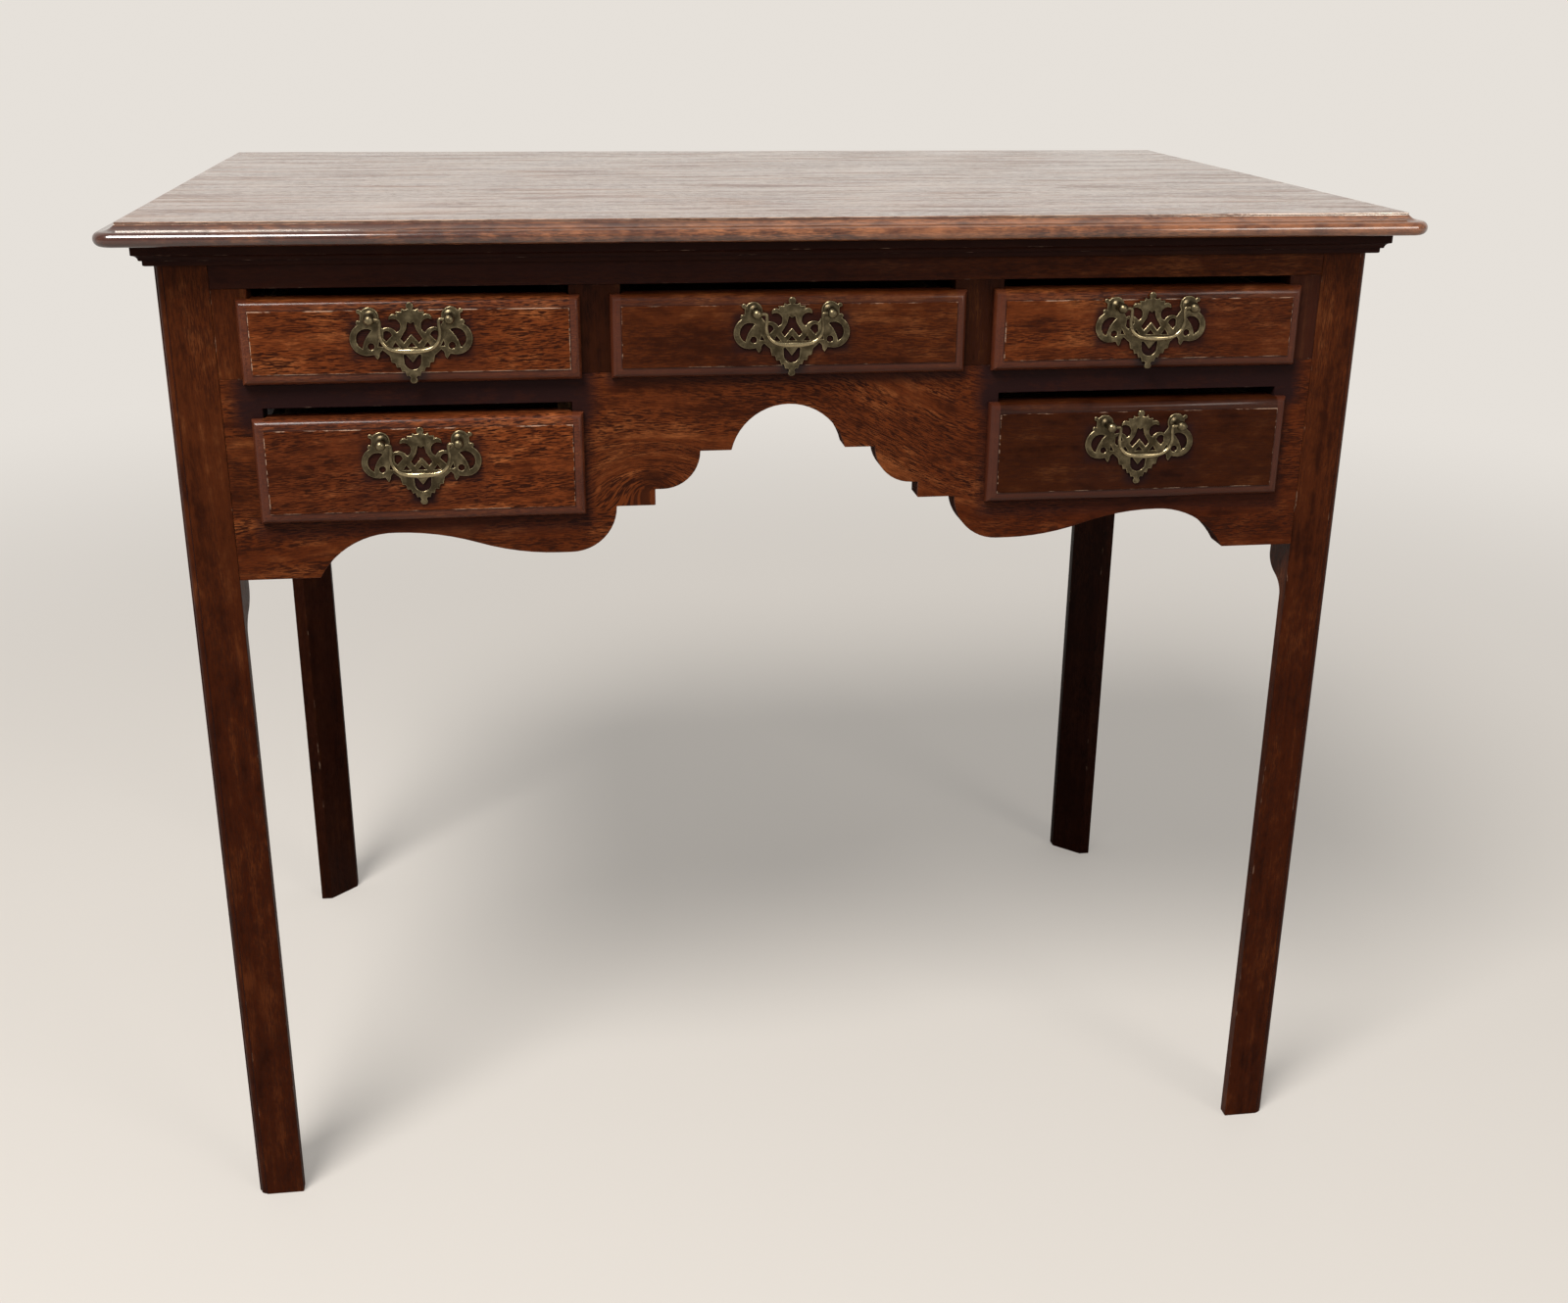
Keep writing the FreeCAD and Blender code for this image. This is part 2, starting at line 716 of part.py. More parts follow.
def make_drawer(name, centre, width, sill, opening_height, plate_drop):
    """All pieces of one drawer, by node name."""
    top = sill + opening_height - front_headroom
    front, sides, back, bottom = make_drawer_box(width / 2, sill, top)
    plate_at = (0, face - field_projection, top - plate_drop)
    pieces = {
        "front": [front.cut([moved(hole, *plate_at) for hole in stem_holes()])],
        "sides": sides,
        "back": [back],
        "bottom": [bottom],
    }
    handle = {
        "backplate": [make_plate()],
        "posts": make_posts(),
        "bail": [make_bail()],
        "nuts": make_nuts(),
    }
    for piece, solids in handle.items():
        pieces[piece] = [moved(solid, *plate_at) for solid in solids]
    nodes = {}
    for piece, solids in pieces.items():
        nodes[f"{name}_{piece}"] = [moved(solid, centre, 0, 0) for solid in solids]
    return nodes


def make_drawers():
    upper = (upper_sill, upper_opening_height, upper_plate_drop)
    lower = (lower_sill, lower_opening_height, lower_plate_drop)
    upper_centre = (side_edge + upper_far_edge) / 2
    lower_centre = (side_edge + lower_far_edge) / 2
    upper_width = upper_far_edge - side_edge
    lower_width = lower_far_edge - side_edge
    return {
        **make_drawer("upper_left", -upper_centre, upper_width, *upper),
        **make_drawer("upper_middle", 0, centre_opening_width, *upper),
        **make_drawer("upper_right", upper_centre, upper_width, *upper),
        **make_drawer("lower_left", -lower_centre, lower_width, *lower),
        **make_drawer("lower_right", lower_centre, lower_width, *lower),
    }


os.makedirs("parts", exist_ok=True)
for node, shape in {**make_carcase(), **make_drawers()}.items():
    solid = Part.makeCompound(shape) if isinstance(shape, list) else shape
    solid.exportStep(f"parts/{node}.step")
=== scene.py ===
import math

import bmesh
import bpy
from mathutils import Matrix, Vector


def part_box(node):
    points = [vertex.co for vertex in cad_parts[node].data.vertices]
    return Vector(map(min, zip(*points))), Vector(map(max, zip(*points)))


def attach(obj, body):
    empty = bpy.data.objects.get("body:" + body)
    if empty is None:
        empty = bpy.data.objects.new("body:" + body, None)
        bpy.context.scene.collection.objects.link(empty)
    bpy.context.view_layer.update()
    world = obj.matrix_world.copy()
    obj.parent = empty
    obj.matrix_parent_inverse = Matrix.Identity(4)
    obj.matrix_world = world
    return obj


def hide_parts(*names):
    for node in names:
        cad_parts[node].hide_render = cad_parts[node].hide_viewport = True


bl_info = {
    "name": "Oak lowboy",
    "version": (1, 0),
    "blender": (4, 5, 0),
    "location": "3D View > Sidebar > Lowboy",
    "description": "Dresses the lowboy's solids in worn oak and aged brass",
    "category": "Object",
}

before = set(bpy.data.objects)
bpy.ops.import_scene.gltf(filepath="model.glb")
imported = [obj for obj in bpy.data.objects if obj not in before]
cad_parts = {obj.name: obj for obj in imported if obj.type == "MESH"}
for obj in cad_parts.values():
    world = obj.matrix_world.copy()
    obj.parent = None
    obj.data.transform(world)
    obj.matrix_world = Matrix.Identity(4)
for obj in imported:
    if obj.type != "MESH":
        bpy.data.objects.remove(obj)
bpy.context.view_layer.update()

DRAWERS = ("upper_left", "upper_middle", "upper_right", "lower_left", "lower_right")
MM = 0.001
TOUCHING = 0.001 * MM


# What a user would change


def length(label, description, default):
    return bpy.props.FloatProperty(
        name=label, description=description, default=default, unit="LENGTH", precision=4
    )


def colour(label, description, default):
    return bpy.props.FloatVectorProperty(
        name=label, description=description, default=default, subtype="COLOR", size=3, min=0, max=1
    )


class LowboySizes(bpy.types.PropertyGroup):
    edge_wear: length("Edge wear", "Width of the rounding that use leaves on sharp edges", 0.8 * MM)
    fine_edge_wear: length("Fine edge wear", "The same on mouldings and drawer fronts", 0.5 * MM)
    nut_wear: length("Nut wear", "The same on the nuts of the handles", 0.3 * MM)
    plate_bevel: length("Plate bevel", "Width of the filed edge round a backplate", 0.62 * MM)
    stem_radius: length("Stem radius", "Radius of a handle post's threaded stem", 1.95 * MM)
    bail_radius: length("Bail radius", "Radius of a bail's arms", 1.15 * MM)
    grip_radius: length("Grip radius", "Radius of a bail in the middle of its grip", 2.05 * MM)


class LowboyColours(bpy.types.PropertyGroup):
    oak_light: colour("Oak, light", "Varnished oak between its pores", (0.250, 0.074, 0.022))
    oak_middle: colour("Oak, middle", "Varnished oak in its middle tone", (0.130, 0.030, 0.0075))
    oak_dark: colour("Oak, dark", "Varnished oak in its dark patches", (0.050, 0.0105, 0.0030))
    pores: colour("Pores", "Filled pores of the oak", (0.021, 0.0052, 0.0022))
    moulding: colour("Moulding", "Stained moulding round a drawer front", (0.066, 0.0175, 0.0090))
    # Also the colour of painted shade between the drawers, under the top and behind the handles
    grime: colour("Grime", "Old dirt in corners and where no hand rubs", (0.0145, 0.0053, 0.0050))
    worn: colour("Worn edges", "Wood where the varnish has gone from an edge", (0.50, 0.34, 0.24))
    top: colour("Top", "Polished oak of the top", (0.24, 0.115, 0.058))
    nosing: colour("Nosing", "Rubbed oak of the top's moulded edge", (0.25, 0.090, 0.034))
    bare: colour("Bare oak", "Unvarnished oak inside", (0.36, 0.23, 0.13))
    brass: colour("Brass", "Brass where hands keep it bright", (0.39, 0.315, 0.18))
    tarnish: colour("Tarnish", "Brown-green tarnish on brass", (0.054, 0.041, 0.023))


class LowboyStage(bpy.types.PropertyGroup):
    camera_place: bpy.props.FloatVectorProperty(
        name="Camera",
        description="Place of the camera",
        default=(-0.17023, -1.36887, 0.84796),
        subtype="TRANSLATION",
    )
    camera_turn: bpy.props.FloatVectorProperty(
        name="Camera turn",
        description="Turn of the camera",
        default=tuple(math.radians(angle) for angle in (69.539, -0.5206, -8.2629)),
        subtype="EULER",
    )
    focal_length: bpy.props.FloatProperty(
        name="Focal length", description="Of the camera, in millimetres", default=40.0175
    )
    background: colour("Background", "What stands behind the table", (0.79, 0.75, 0.70))
    floor: colour("Floor", "Plain floor", (0.57, 0.54, 0.505))


# Choosing and shaping


def take(*pieces):
    """Makes these objects the only ones that an operator works on."""
    if bpy.context.mode != "OBJECT":
        bpy.ops.object.mode_set(mode="OBJECT")
    bpy.ops.object.select_all(action="DESELECT")
    for piece in pieces:
        piece.select_set(True)
    bpy.context.view_layer.objects.active = pieces[0]


def edit(piece, kind="VERT"):
    """Opens a piece in edit mode, with all of it selected."""
    take(piece)
    bpy.ops.object.mode_set(mode="EDIT")
    bpy.ops.mesh.select_mode(type=kind)
    bpy.ops.mesh.select_all(action="SELECT")


def done():
    bpy.ops.object.mode_set(mode="OBJECT")


def smooth(piece, angle):
    take(piece)
    bpy.ops.object.shade_smooth_by_angle(angle=math.radians(angle))


def even_shading(piece):
    """Keeps flat faces flat between rounded edges."""
    take(piece)
    bpy.ops.object.modifier_add(type="WEIGHTED_NORMAL")
    modifier = piece.modifiers[-1]
    modifier.keep_sharp = True
    modifier.weight = 100
    bpy.ops.object.modifier_apply(modifier=modifier.name)


def settle(piece):
    """Puts a piece's place, turn and size into its mesh."""
    take(piece)
    bpy.ops.object.transform_apply(location=True, rotation=True, scale=True)


def clean(piece, angle):
    """Merges points that touch, turns the faces outwards, and smooths corners under this angle."""
    edit(piece)
    bpy.ops.mesh.remove_doubles(threshold=TOUCHING)
    bpy.ops.mesh.normals_make_consistent(inside=False)
    done()
    smooth(piece, angle)


def link(name, data):
    """A new object that shows this mesh or curve."""
    piece = bpy.data.objects.new(name, data)
    bpy.context.scene.collection.objects.link(piece)
    return piece


def copy_of(piece, name):
    """A copy with its own mesh."""
    return link(name, piece.data.copy())


def mesh_of(curve):
    """A new object with the mesh that a curve makes."""
    piece = link(curve.name, curve)
    take(piece)
    bpy.ops.object.convert(target="MESH")
    return piece


def belongs(piece, body, node):
    """Says which body a piece rides on and which node it stands for."""
    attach(piece, body)
    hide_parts(node)


def finish_with(piece, material):
    piece.data.materials.clear()
    piece.data.materials.append(material)


def middle(node):
    low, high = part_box(node)
    return (low + high) / 2


# Worn copies of the solids

CORNER = math.radians(35)  # faces that meet at more than this have a corner between them
FLAT = math.radians(0.5)  # and at less than this they are one face
SQUARE = 0.01 * MM  # how far an edge that runs along one axis may stray along the others
MARKS = {"wear": 1, "dirt": 2}  # each mark, and the material slot by which its faces are found


def soften(piece, width, mark, convex, shortest):
    """Bevels a piece's outer or inner corners, and gives the new strips the slot of a mark."""
    mesh = bmesh.from_edit_mesh(piece.data)
    for edge in mesh.edges:
        corner = edge.is_manifold and edge.calc_face_angle() > CORNER
        along = edge.verts[1].co - edge.verts[0].co
        square = shortest == 0 or sum(abs(part) > SQUARE for part in along) == 1
        edge.select_set(corner and edge.is_convex == convex and along.length > shortest and square)
    mesh.select_flush_mode()
    bmesh.update_edit_mesh(piece.data)
    slot = MARKS[mark]
    bpy.ops.mesh.bevel(offset=width, segments=2, affect="EDGES", clamp_overlap=False, material=slot)
    bpy.ops.mesh.select_all(action="DESELECT")


def eased(node, width, shortest=0.0, holes=(), across="X"):
    """A copy of a node with its corners rounded, and the strips marked for wear outside and dirt inside.

    With a shortest length, only longer corners that run square to the piece are rounded. Holes are places
    along an axis where a face has a hole: it is cut across there, so that no edge runs from the hole to a
    corner."""
    piece = copy_of(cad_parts[node], f"worn_{node}")
    piece.data.materials.clear()
    for _ in range(1 + len(MARKS)):
        piece.data.materials.append(None)
    edit(piece, "EDGE")
    bpy.ops.mesh.customdata_custom_splitnormals_clear()
    bpy.ops.mesh.remove_doubles(threshold=TOUCHING)
    normal = Vector([float(axis == across) for axis in "XYZ"])
    for place in holes:
        bpy.ops.mesh.select_all(action="SELECT")
        bpy.ops.mesh.bisect(plane_co=place * normal, plane_no=normal)
        bpy.ops.mesh.mark_seam()
    bpy.ops.mesh.select_all(action="SELECT")
    bpy.ops.mesh.dissolve_limited(angle_limit=FLAT, delimit={"SEAM"})
    bpy.ops.mesh.select_all(action="DESELECT")
    soften(piece, 0.8 * width, "dirt", False, shortest)
    soften(piece, width, "wear", True, shortest)
    done()
    for name, slot in MARKS.items():
        mark = piece.data.attributes.new(name, "FLOAT", "FACE")
        for face in piece.data.polygons:
            mark.data[face.index].value = float(face.material_index == slot)
    for face in piece.data.polygons:
        face.material_index = 0
    smooth(piece, 32)
    even_shading(piece)
    return piece


# Finishes


class Value:
    """A shader socket that can be used in arithmetic, each step of which adds a Math node."""

    def __init__(self, nodes, socket):
        self.nodes = nodes
        self.socket = socket

    def __add__(self, other):
        return self.nodes.math("ADD", self, other)

    def __sub__(self, other):
        return self.nodes.math("SUBTRACT", self, other)

    def __rsub__(self, other):
        return self.nodes.math("SUBTRACT", other, self)

    def __mul__(self, other):
        return self.nodes.math("MULTIPLY", self, other)

    __radd__ = __add__
    __rmul__ = __mul__


class Nodes:
    """The nodes of a material or a world."""

    def __init__(self, holder):
        holder.use_nodes = True
        self.tree = holder.node_tree
        self.tree.nodes.clear()

    def node(self, kind, settings=None, values=None, output=0):
        """Adds a node: its settings first, then the values or links of its sockets."""
        made = self.tree.nodes.new(kind)
        for name, setting in (settings or {}).items():
            setattr(made, name, setting)
        for key, value in (values or {}).items():
            if isinstance(value, Value):
                self.tree.links.new(value.socket, made.inputs[key])
            else:
                made.inputs[key].default_value = value
        return Value(self, made.outputs[output]) if made.outputs else None

    def math(self, operation, *values):
        return self.node("ShaderNodeMath", {"operation": operation}, dict(enumerate(values)))

    def mix(self, factor, first, second):
        return self.node("ShaderNodeMixShader", None, {0: factor, 1: first, 2: second})

    def glow(self, shade):
        return self.node("ShaderNodeEmission", None, {"Color": (*shade, 1)})

    def is_ray(self, kind):
        """1 for this kind of ray, and 0 for others."""
        return self.node("ShaderNodeLightPath", output=f"Is {kind} Ray")

    def shown(self, rays, shade, plain):
        """A plain shader, with an even glow of this shade in its place for these kinds of ray."""
        seen = self.is_ray(rays[0])
        for kind in rays[1:]:
            seen = self.math("MAXIMUM", seen, self.is_ray(kind))
        return self.mix(seen, plain, self.glow(shade))


class Finish(Nodes):
    """A material, and the patterns that it is made of."""

    def __init__(self, name):
        self.material = bpy.data.materials.new(name)
        super().__init__(self.material)
        self.place = self.node("ShaderNodeTexCoord", output="Object")

    def vector(self, operation, *values, output=0):
        return self.node("ShaderNodeVectorMath", {"operation": operation}, dict(enumerate(values)), output)

    def distance(self, vector):
        return self.vector("LENGTH", vector, output="Value")

    def along(self, axis):
        """The place along X, Y or Z."""
        return self.node("ShaderNodeSeparateXYZ", None, {"Vector": self.place}, axis)

    def step(self, value, low, high, start=0.0, end=1.0):
        """A smooth step from start to end as the value passes from low to high."""
        limits = {"Value": value, "From Min": low, "From Max": high, "To Min": start, "To Max": end}
        return self.node("ShaderNodeMapRange", {"interpolation_type": "SMOOTHSTEP"}, limits)

    def noise(self, place, scale, detail=2.0, roughness=0.5, output=0):
        """Noise with a scale of its own along each axis."""
        stretched = self.vector("MULTIPLY", place, scale)
        values = {"Vector": stretched, "Scale": 1.0, "Detail": detail, "Roughness": roughness}
        return self.node("ShaderNodeTexNoise", None, values, output)

    def within(self, low, high, fade):
        """1 inside a box, falling to 0 at this distance from it."""
        low, high = Vector(low), Vector(high)
        away = self.vector("ABSOLUTE", self.vector("SUBTRACT", self.place, (low + high) / 2))
        away = self.vector("MAXIMUM", self.vector("SUBTRACT", away, (high - low) / 2), (0, 0, 0))
        return self.step(self.distance(away), 0, fade, 1, 0)

    def from_knot(self, centre, flattened):
        """The distance from a line along Y, of which this share is counted along X."""
        off = self.vector("SUBTRACT", self.place, centre)
        return self.distance(self.vector("MULTIPLY", off, (flattened, 0, 1)))

    def mark(self, name):
        """What a piece carries under this name: 1 where it is fully marked."""
        return self.node("ShaderNodeAttribute", {"attribute_name": name}, output="Fac")

    def blend(self, factor, first, second, mode="MIX"):
        """Two colours mixed; a plain colour is three numbers."""
        shades = [(*shade, 1) if not isinstance(shade, Value) else shade for shade in (first, second)]
        settings = {"data_type": "RGBA", "blend_type": mode, "clamp_factor": True}
        return self.node("ShaderNodeMix", settings, {0: factor, 6: shades[0], 7: shades[1]}, 2)

    def bump(self, height, distance, strength=1.0, under=None):
        values = {"Height": height, "Distance": distance, "Strength": strength}
        if under:
            values["Normal"] = under
        return self.node("ShaderNodeBump", None, values)

    def surface(self, shader):
        """Ends the material with this shader."""
        self.node("ShaderNodeOutputMaterial", None, {"Surface": shader})
        return self.material

    def close(self, values, dull=None, where=None):
        """Ends the material with a Principled shader, and a second one where a mask says."""
        shader = self.node("ShaderNodeBsdfPrincipled", None, values)
        if dull:
            shader = self.mix(where, shader, self.node("ShaderNodeBsdfPrincipled", None, dull))
        return self.surface(shader)


def shaded(paint, share):
    """A colour made darker or lighter."""
    return [min(1, share * part) for part in paint]


BOARD_TURNS = {"X": (0, 0, 0), "Y": (0, 0, -math.pi / 2), "Z": (0, math.pi / 2, 0)}
BOARD_SHIFT = (0.731, 0.417, 0.293)

# Scales of the oak's patterns, along the grain and twice across it
SWAY = (2.2, 9, 9)
PORE_ROWS = (130, 1350, 1350)
PORE_DASHES = (190, 2100, 2100)
PORE_DENSITY = (9, 60, 60)
FINE_PORES = (150, 1900, 1900)
BANDS = (4.5, 170, 170)
FLECKS = (75, 170, 170)
PATCHES = (22, 38, 38)
WAVES = (14, 40, 40)
RUBBED = (60, 250, 250)
CLOUDS = (6, 16, 16)
STREAKS = (5, 260, 260)
BARS = (8, 80, 80)


def board_place(finish, along, seed, tilt=0.0, knot=None, dip=None):
    """Object coordinates turned so that the grain runs along X, shifted so that no two boards match.

    The grain rises over a knot, which is its place and its radius. It falls by a dip's depth between two
    places along the board."""
    place = finish.place
    if dip:
        start, end, depth = dip
        fallen = finish.step(finish.along("X"), start, end, 0, depth)
        place = finish.vector("ADD", place, finish.vector("MULTIPLY", fallen, (0, 0, 1)))
    if knot:
        centre, radius = knot
        near = finish.step(finish.from_knot(centre, 0.55), 0, 2.4 * radius, 1, 0)
        place = finish.vector("SUBTRACT", place, finish.vector("MULTIPLY", near, (0, 0, 1.7 * radius)))
    turn = Vector(BOARD_TURNS[along]) + Vector((0, math.radians(tilt), 0))
    shift = [part * seed for part in BOARD_SHIFT]
    return finish.node("ShaderNodeMapping", None, {"Vector": place, "Rotation": turn, "Location": shift})


def grain(finish, board, wander=0.010):
    """Masks of an oak board, whose grain wanders by up to this far to each side."""
    sway = finish.noise(board, SWAY, output="Color")
    sway = finish.vector("SUBTRACT", sway, (0.5, 0.5, 0.5))
    bent = finish.vector("ADD", board, finish.vector("MULTIPLY", sway, (0, 2 * wander, 2 * wander)))
    rows = finish.step(finish.noise(bent, PORE_ROWS, 1.0), 0.525, 0.59)
    dashes = finish.step(finish.noise(bent, PORE_DASHES, 1.0), 0.52, 0.59)
    density = finish.step(finish.noise(bent, PORE_DENSITY), 0.36, 0.54, 0.4, 1.0)
    return {
        "bent": bent,
        "bands": finish.noise(bent, BANDS, 3.0, 0.6),
        "pores": finish.math("MAXIMUM", rows, dashes * 0.8) * density,
        "fine": finish.step(finish.noise(bent, FINE_PORES, 1.0), 0.45, 0.7),
        "flecks": finish.noise(bent, FLECKS, 3.0, 0.65),
        "patches": finish.noise(board, PATCHES, 4.0, 0.6),
    }


def oak_tones(finish, colours, masks, tone, shade):
    """The wood between the pores, dark, medium or light by its bands, patches and flecks."""
    oaks = (colours.oak_dark, colours.oak_middle, colours.oak_light)
    dark, medium, light = (shaded(oak, shade) for oak in oaks)
    depth = masks["bands"] * 0.4 + masks["patches"] * 0.55 + masks["flecks"] * 0.35 + (tone - 1.15)
    wood = finish.blend(finish.step(depth, -0.17, 0.0), dark, medium)
    return finish.blend(finish.step(depth, 0.0, 0.16), wood, light)


def varnished_oak(
    name, colours, along, seed, tone=0.5, contrast=1.0, tilt=0.0, wander=0.010, shade=1.0, rub=0.5,
    grime=(), darkened_and_shaded=(), knot=None, dip=None, field=None, face=None,
):
    """Old varnished oak: orange between dark rows of pores, worn on its edges, dirty in its corners.

    One list gives boxes darkened towards the grime colour, each with its fade and strength: old dirt in
    some, painted shade under and between parts in others. The other gives boxes where the wood is
    multiplied by a colour, each with its fade and that colour: painted shade towards the floor on the legs
    and the apron, darker ends elsewhere. Round its field a front has a glossy moulding, stained darker
    except above, where its top strip is left light as painted light from above. Behind the face, a place
    along Y, sawn edges are dull and dark."""
    finish = Finish(name)
    board = board_place(finish, along, seed, tilt, knot, dip)
    masks = grain(finish, board, wander)
    wood = oak_tones(finish, colours, masks, tone, shade)
    # boxes multiplied darker: painted shade towards the floor on the legs and the apron, darker ends
    # elsewhere
    for low, high, fade, tint in darkened_and_shaded:
        wood = finish.blend(finish.within(low, high, fade), wood, tint, "MULTIPLY")
    pores = masks["pores"] * contrast
    wood = finish.blend(pores, wood, colours.pores)
    coat = 0.01
    if field:
        low, high = field
        # the moulding is stained darker on its sides and below; its top strip is left light, painted as lit
        # from above
        line, above, gloss = 0.25 * MM, Vector((0, 0, 0.1)), 0.33
        moulding = 1 - finish.within(low, high + above, line)
        wood = finish.blend(moulding * 0.62, wood, colours.moulding)
        coat = coat + gloss - finish.within(low, high, line) * gloss
    ragged = finish.step(masks["patches"] * 0.6 + masks["flecks"] * 0.4, 0.38, 0.62, 0.7, 1.0)
    # darkens towards the grime colour: old dirt in some boxes, painted shade under and between parts in
    # others
    for low, high, fade, strength in grime:
        wood = finish.blend(finish.within(low, high, fade) * ragged * strength, wood, colours.grime)
    rubbed = finish.noise(masks["bent"], RUBBED, 3.0, 0.7)
    rubbed = finish.step(rubbed, 0.60 - 0.22 * rub, 0.70 - 0.22 * rub, 0, 0.2 + 0.6 * rub)
    wood = finish.blend(finish.mark("wear") * rubbed, wood, colours.worn)
    wood = finish.blend(finish.mark("dirt") * 0.85, wood, colours.grime)
    if knot:
        centre, radius = knot
        heart = finish.step(finish.from_knot(centre, 0.6), 0.15 * radius, 0.5 * radius, 1, 0)
        wood = finish.blend(heart * 0.8, wood, colours.pores)
    hollows = pores * 0.7 + masks["fine"] * 0.3
    rough = finish.step(masks["patches"] * 0.5 + hollows * 0.5, 0.15, 0.8, 0.30, 0.50)
    if face is not None:
        sawn = finish.step(finish.along("Y"), face + 0.6 * MM, face + 1.4 * MM)
        wood = finish.blend(sawn * 0.6, wood, colours.grime)
        rough = finish.math("MAXIMUM", rough, sawn * 0.95)
    normal = finish.bump(1 - hollows, 0.22 * MM, 0.3)
    normal = finish.bump(finish.noise(board, WAVES), 0.6 * MM, 0.2, normal)
    varnish = {"Base Color": wood, "Roughness": rough, "Specular IOR Level": 0.04, "Normal": normal}
    return finish.close({**varnish, "Coat Weight": coat, "Coat Roughness": 0.16})


def polished_oak(name, colours, along, seed, edge):
    """The top: fine oak under a thick polish, dull in its pores, with a plainer moulding outside the edge."""
    finish = Finish(name)
    board = board_place(finish, along, seed)
    masks = grain(finish, board, 0.006)
    depth = masks["bands"] * 0.5 + masks["patches"] * 0.6 - 0.55
    wood = finish.blend(finish.step(depth, -0.14, 0.14), colours.oak_middle, colours.top)
    clouds = finish.noise(board, CLOUDS, 3.0, 0.55)
    left, front, below = edge[0]
    dark_end = finish.within((left - 0.1, front - 0.1, below), (left + 0.12, front, below + 0.1), 0.20)
    rubbed = masks["patches"] * 0.3 + masks["flecks"] * 0.4 + clouds * 0.3 - dark_end * 0.14
    nosing = finish.blend(finish.step(rubbed, 0.36, 0.58), colours.oak_dark, colours.nosing)
    rim = 1 - finish.within(*edge, 1.0 * MM)
    wood = finish.blend(rim, wood, nosing)
    streaks = finish.step(finish.noise(masks["bent"], STREAKS, 4.0, 0.7), 0.54, 0.66)
    bars = finish.step(finish.noise(masks["bent"], BARS, 4.0, 0.7), 0.46, 0.64)
    lines = finish.math("MAXIMUM", masks["pores"] * 0.8, streaks * 0.7)
    wood = finish.blend(lines * 0.85, wood, colours.pores)
    worn = finish.mark("wear") * finish.step(masks["flecks"] * 0.5 + clouds * 0.5, 0.46, 0.58)
    wood = finish.blend(worn * 0.7, wood, colours.worn)
    wood = finish.blend(finish.mark("dirt") * 0.9, wood, colours.grime)
    shared = {"Base Color": wood, "Normal": finish.bump(1 - lines, 0.08 * MM, 0.15), "Coat Roughness": 0.10}
    rough = finish.step(masks["patches"], 0.3, 0.7, 0.12, 0.20)
    polish = {**shared, "Roughness": rough, "IOR": 2.35, "Specular Tint": (1.0, 0.86, 0.71, 1)}
    polish.update({"Coat Weight": 0.88, "Coat IOR": 2.0})
    plain = {**shared, "Roughness": 0.34, "Specular IOR Level": 0.12}
    plain.update({"Coat Weight": rim * 0.95, "Coat IOR": 1.75})
    return finish.close(polish, plain, finish.math("MAXIMUM", rim, lines * 0.62 + bars * 0.42))


def bare_oak(name, colours, along, seed):
    """Dry oak inside: dusty, with open pores and stains."""
    finish = Finish(name)
    masks = grain(finish, board_place(finish, along, seed))
    wood = finish.blend(finish.step(masks["bands"], 0.3, 0.7), shaded(colours.bare, 0.62), colours.bare)
    stain = finish.step(masks["patches"], 0.45, 0.75)
    wood = finish.blend(masks["pores"] * 0.6, wood, shaded(colours.bare, 0.22))
    wood = finish.blend(stain * 0.5, wood, shaded(colours.bare, 0.4))
    wood = finish.blend(finish.mark("wear") * 0.4, wood, shaded(colours.bare, 1.4))
    wood = finish.blend(finish.mark("dirt") * 0.6, wood, shaded(colours.bare, 0.2))
    normal = finish.bump(1 - masks["pores"], 0.3 * MM, 0.5)
    return finish.close({"Base Color": wood, "Roughness": 0.72, "Normal": normal})


def aged_brass(name, colours):
    """Brass gone olive-brown, with the bright metal left on rounded edges."""
    finish = Finish(name)
    clouds = finish.noise(finish.place, (130, 130, 130), 3.0, 0.6)
    specks = finish.noise(finish.place, (900, 900, 900), 2.0, 0.6)
    bright = finish.step(clouds * 0.7 + finish.mark("wear") * 0.4, 0.24, 0.80)
    metal = finish.blend(bright, colours.tarnish, colours.brass)
    metal = finish.blend(finish.step(specks, 0.58, 0.72) * 0.6, metal, shaded(colours.tarnish, 0.35))
    rough = finish.step(bright, 0, 1, 0.42, 0.24)
    normal = finish.bump(specks, 0.06 * MM, 0.3)
    normal = finish.bump(clouds, 0.3 * MM, 0.25, normal)
    return finish.close({"Base Color": metal, "Metallic": 1.0, "Roughness": rough, "Normal": normal})


def brass(context):
    """The one brass finish, made the first time that it is asked for."""
    found = bpy.data.materials.get("aged_brass")
    return found or aged_brass("aged_brass", context.scene.lowboy_colours)


# Flat outlines for the handles


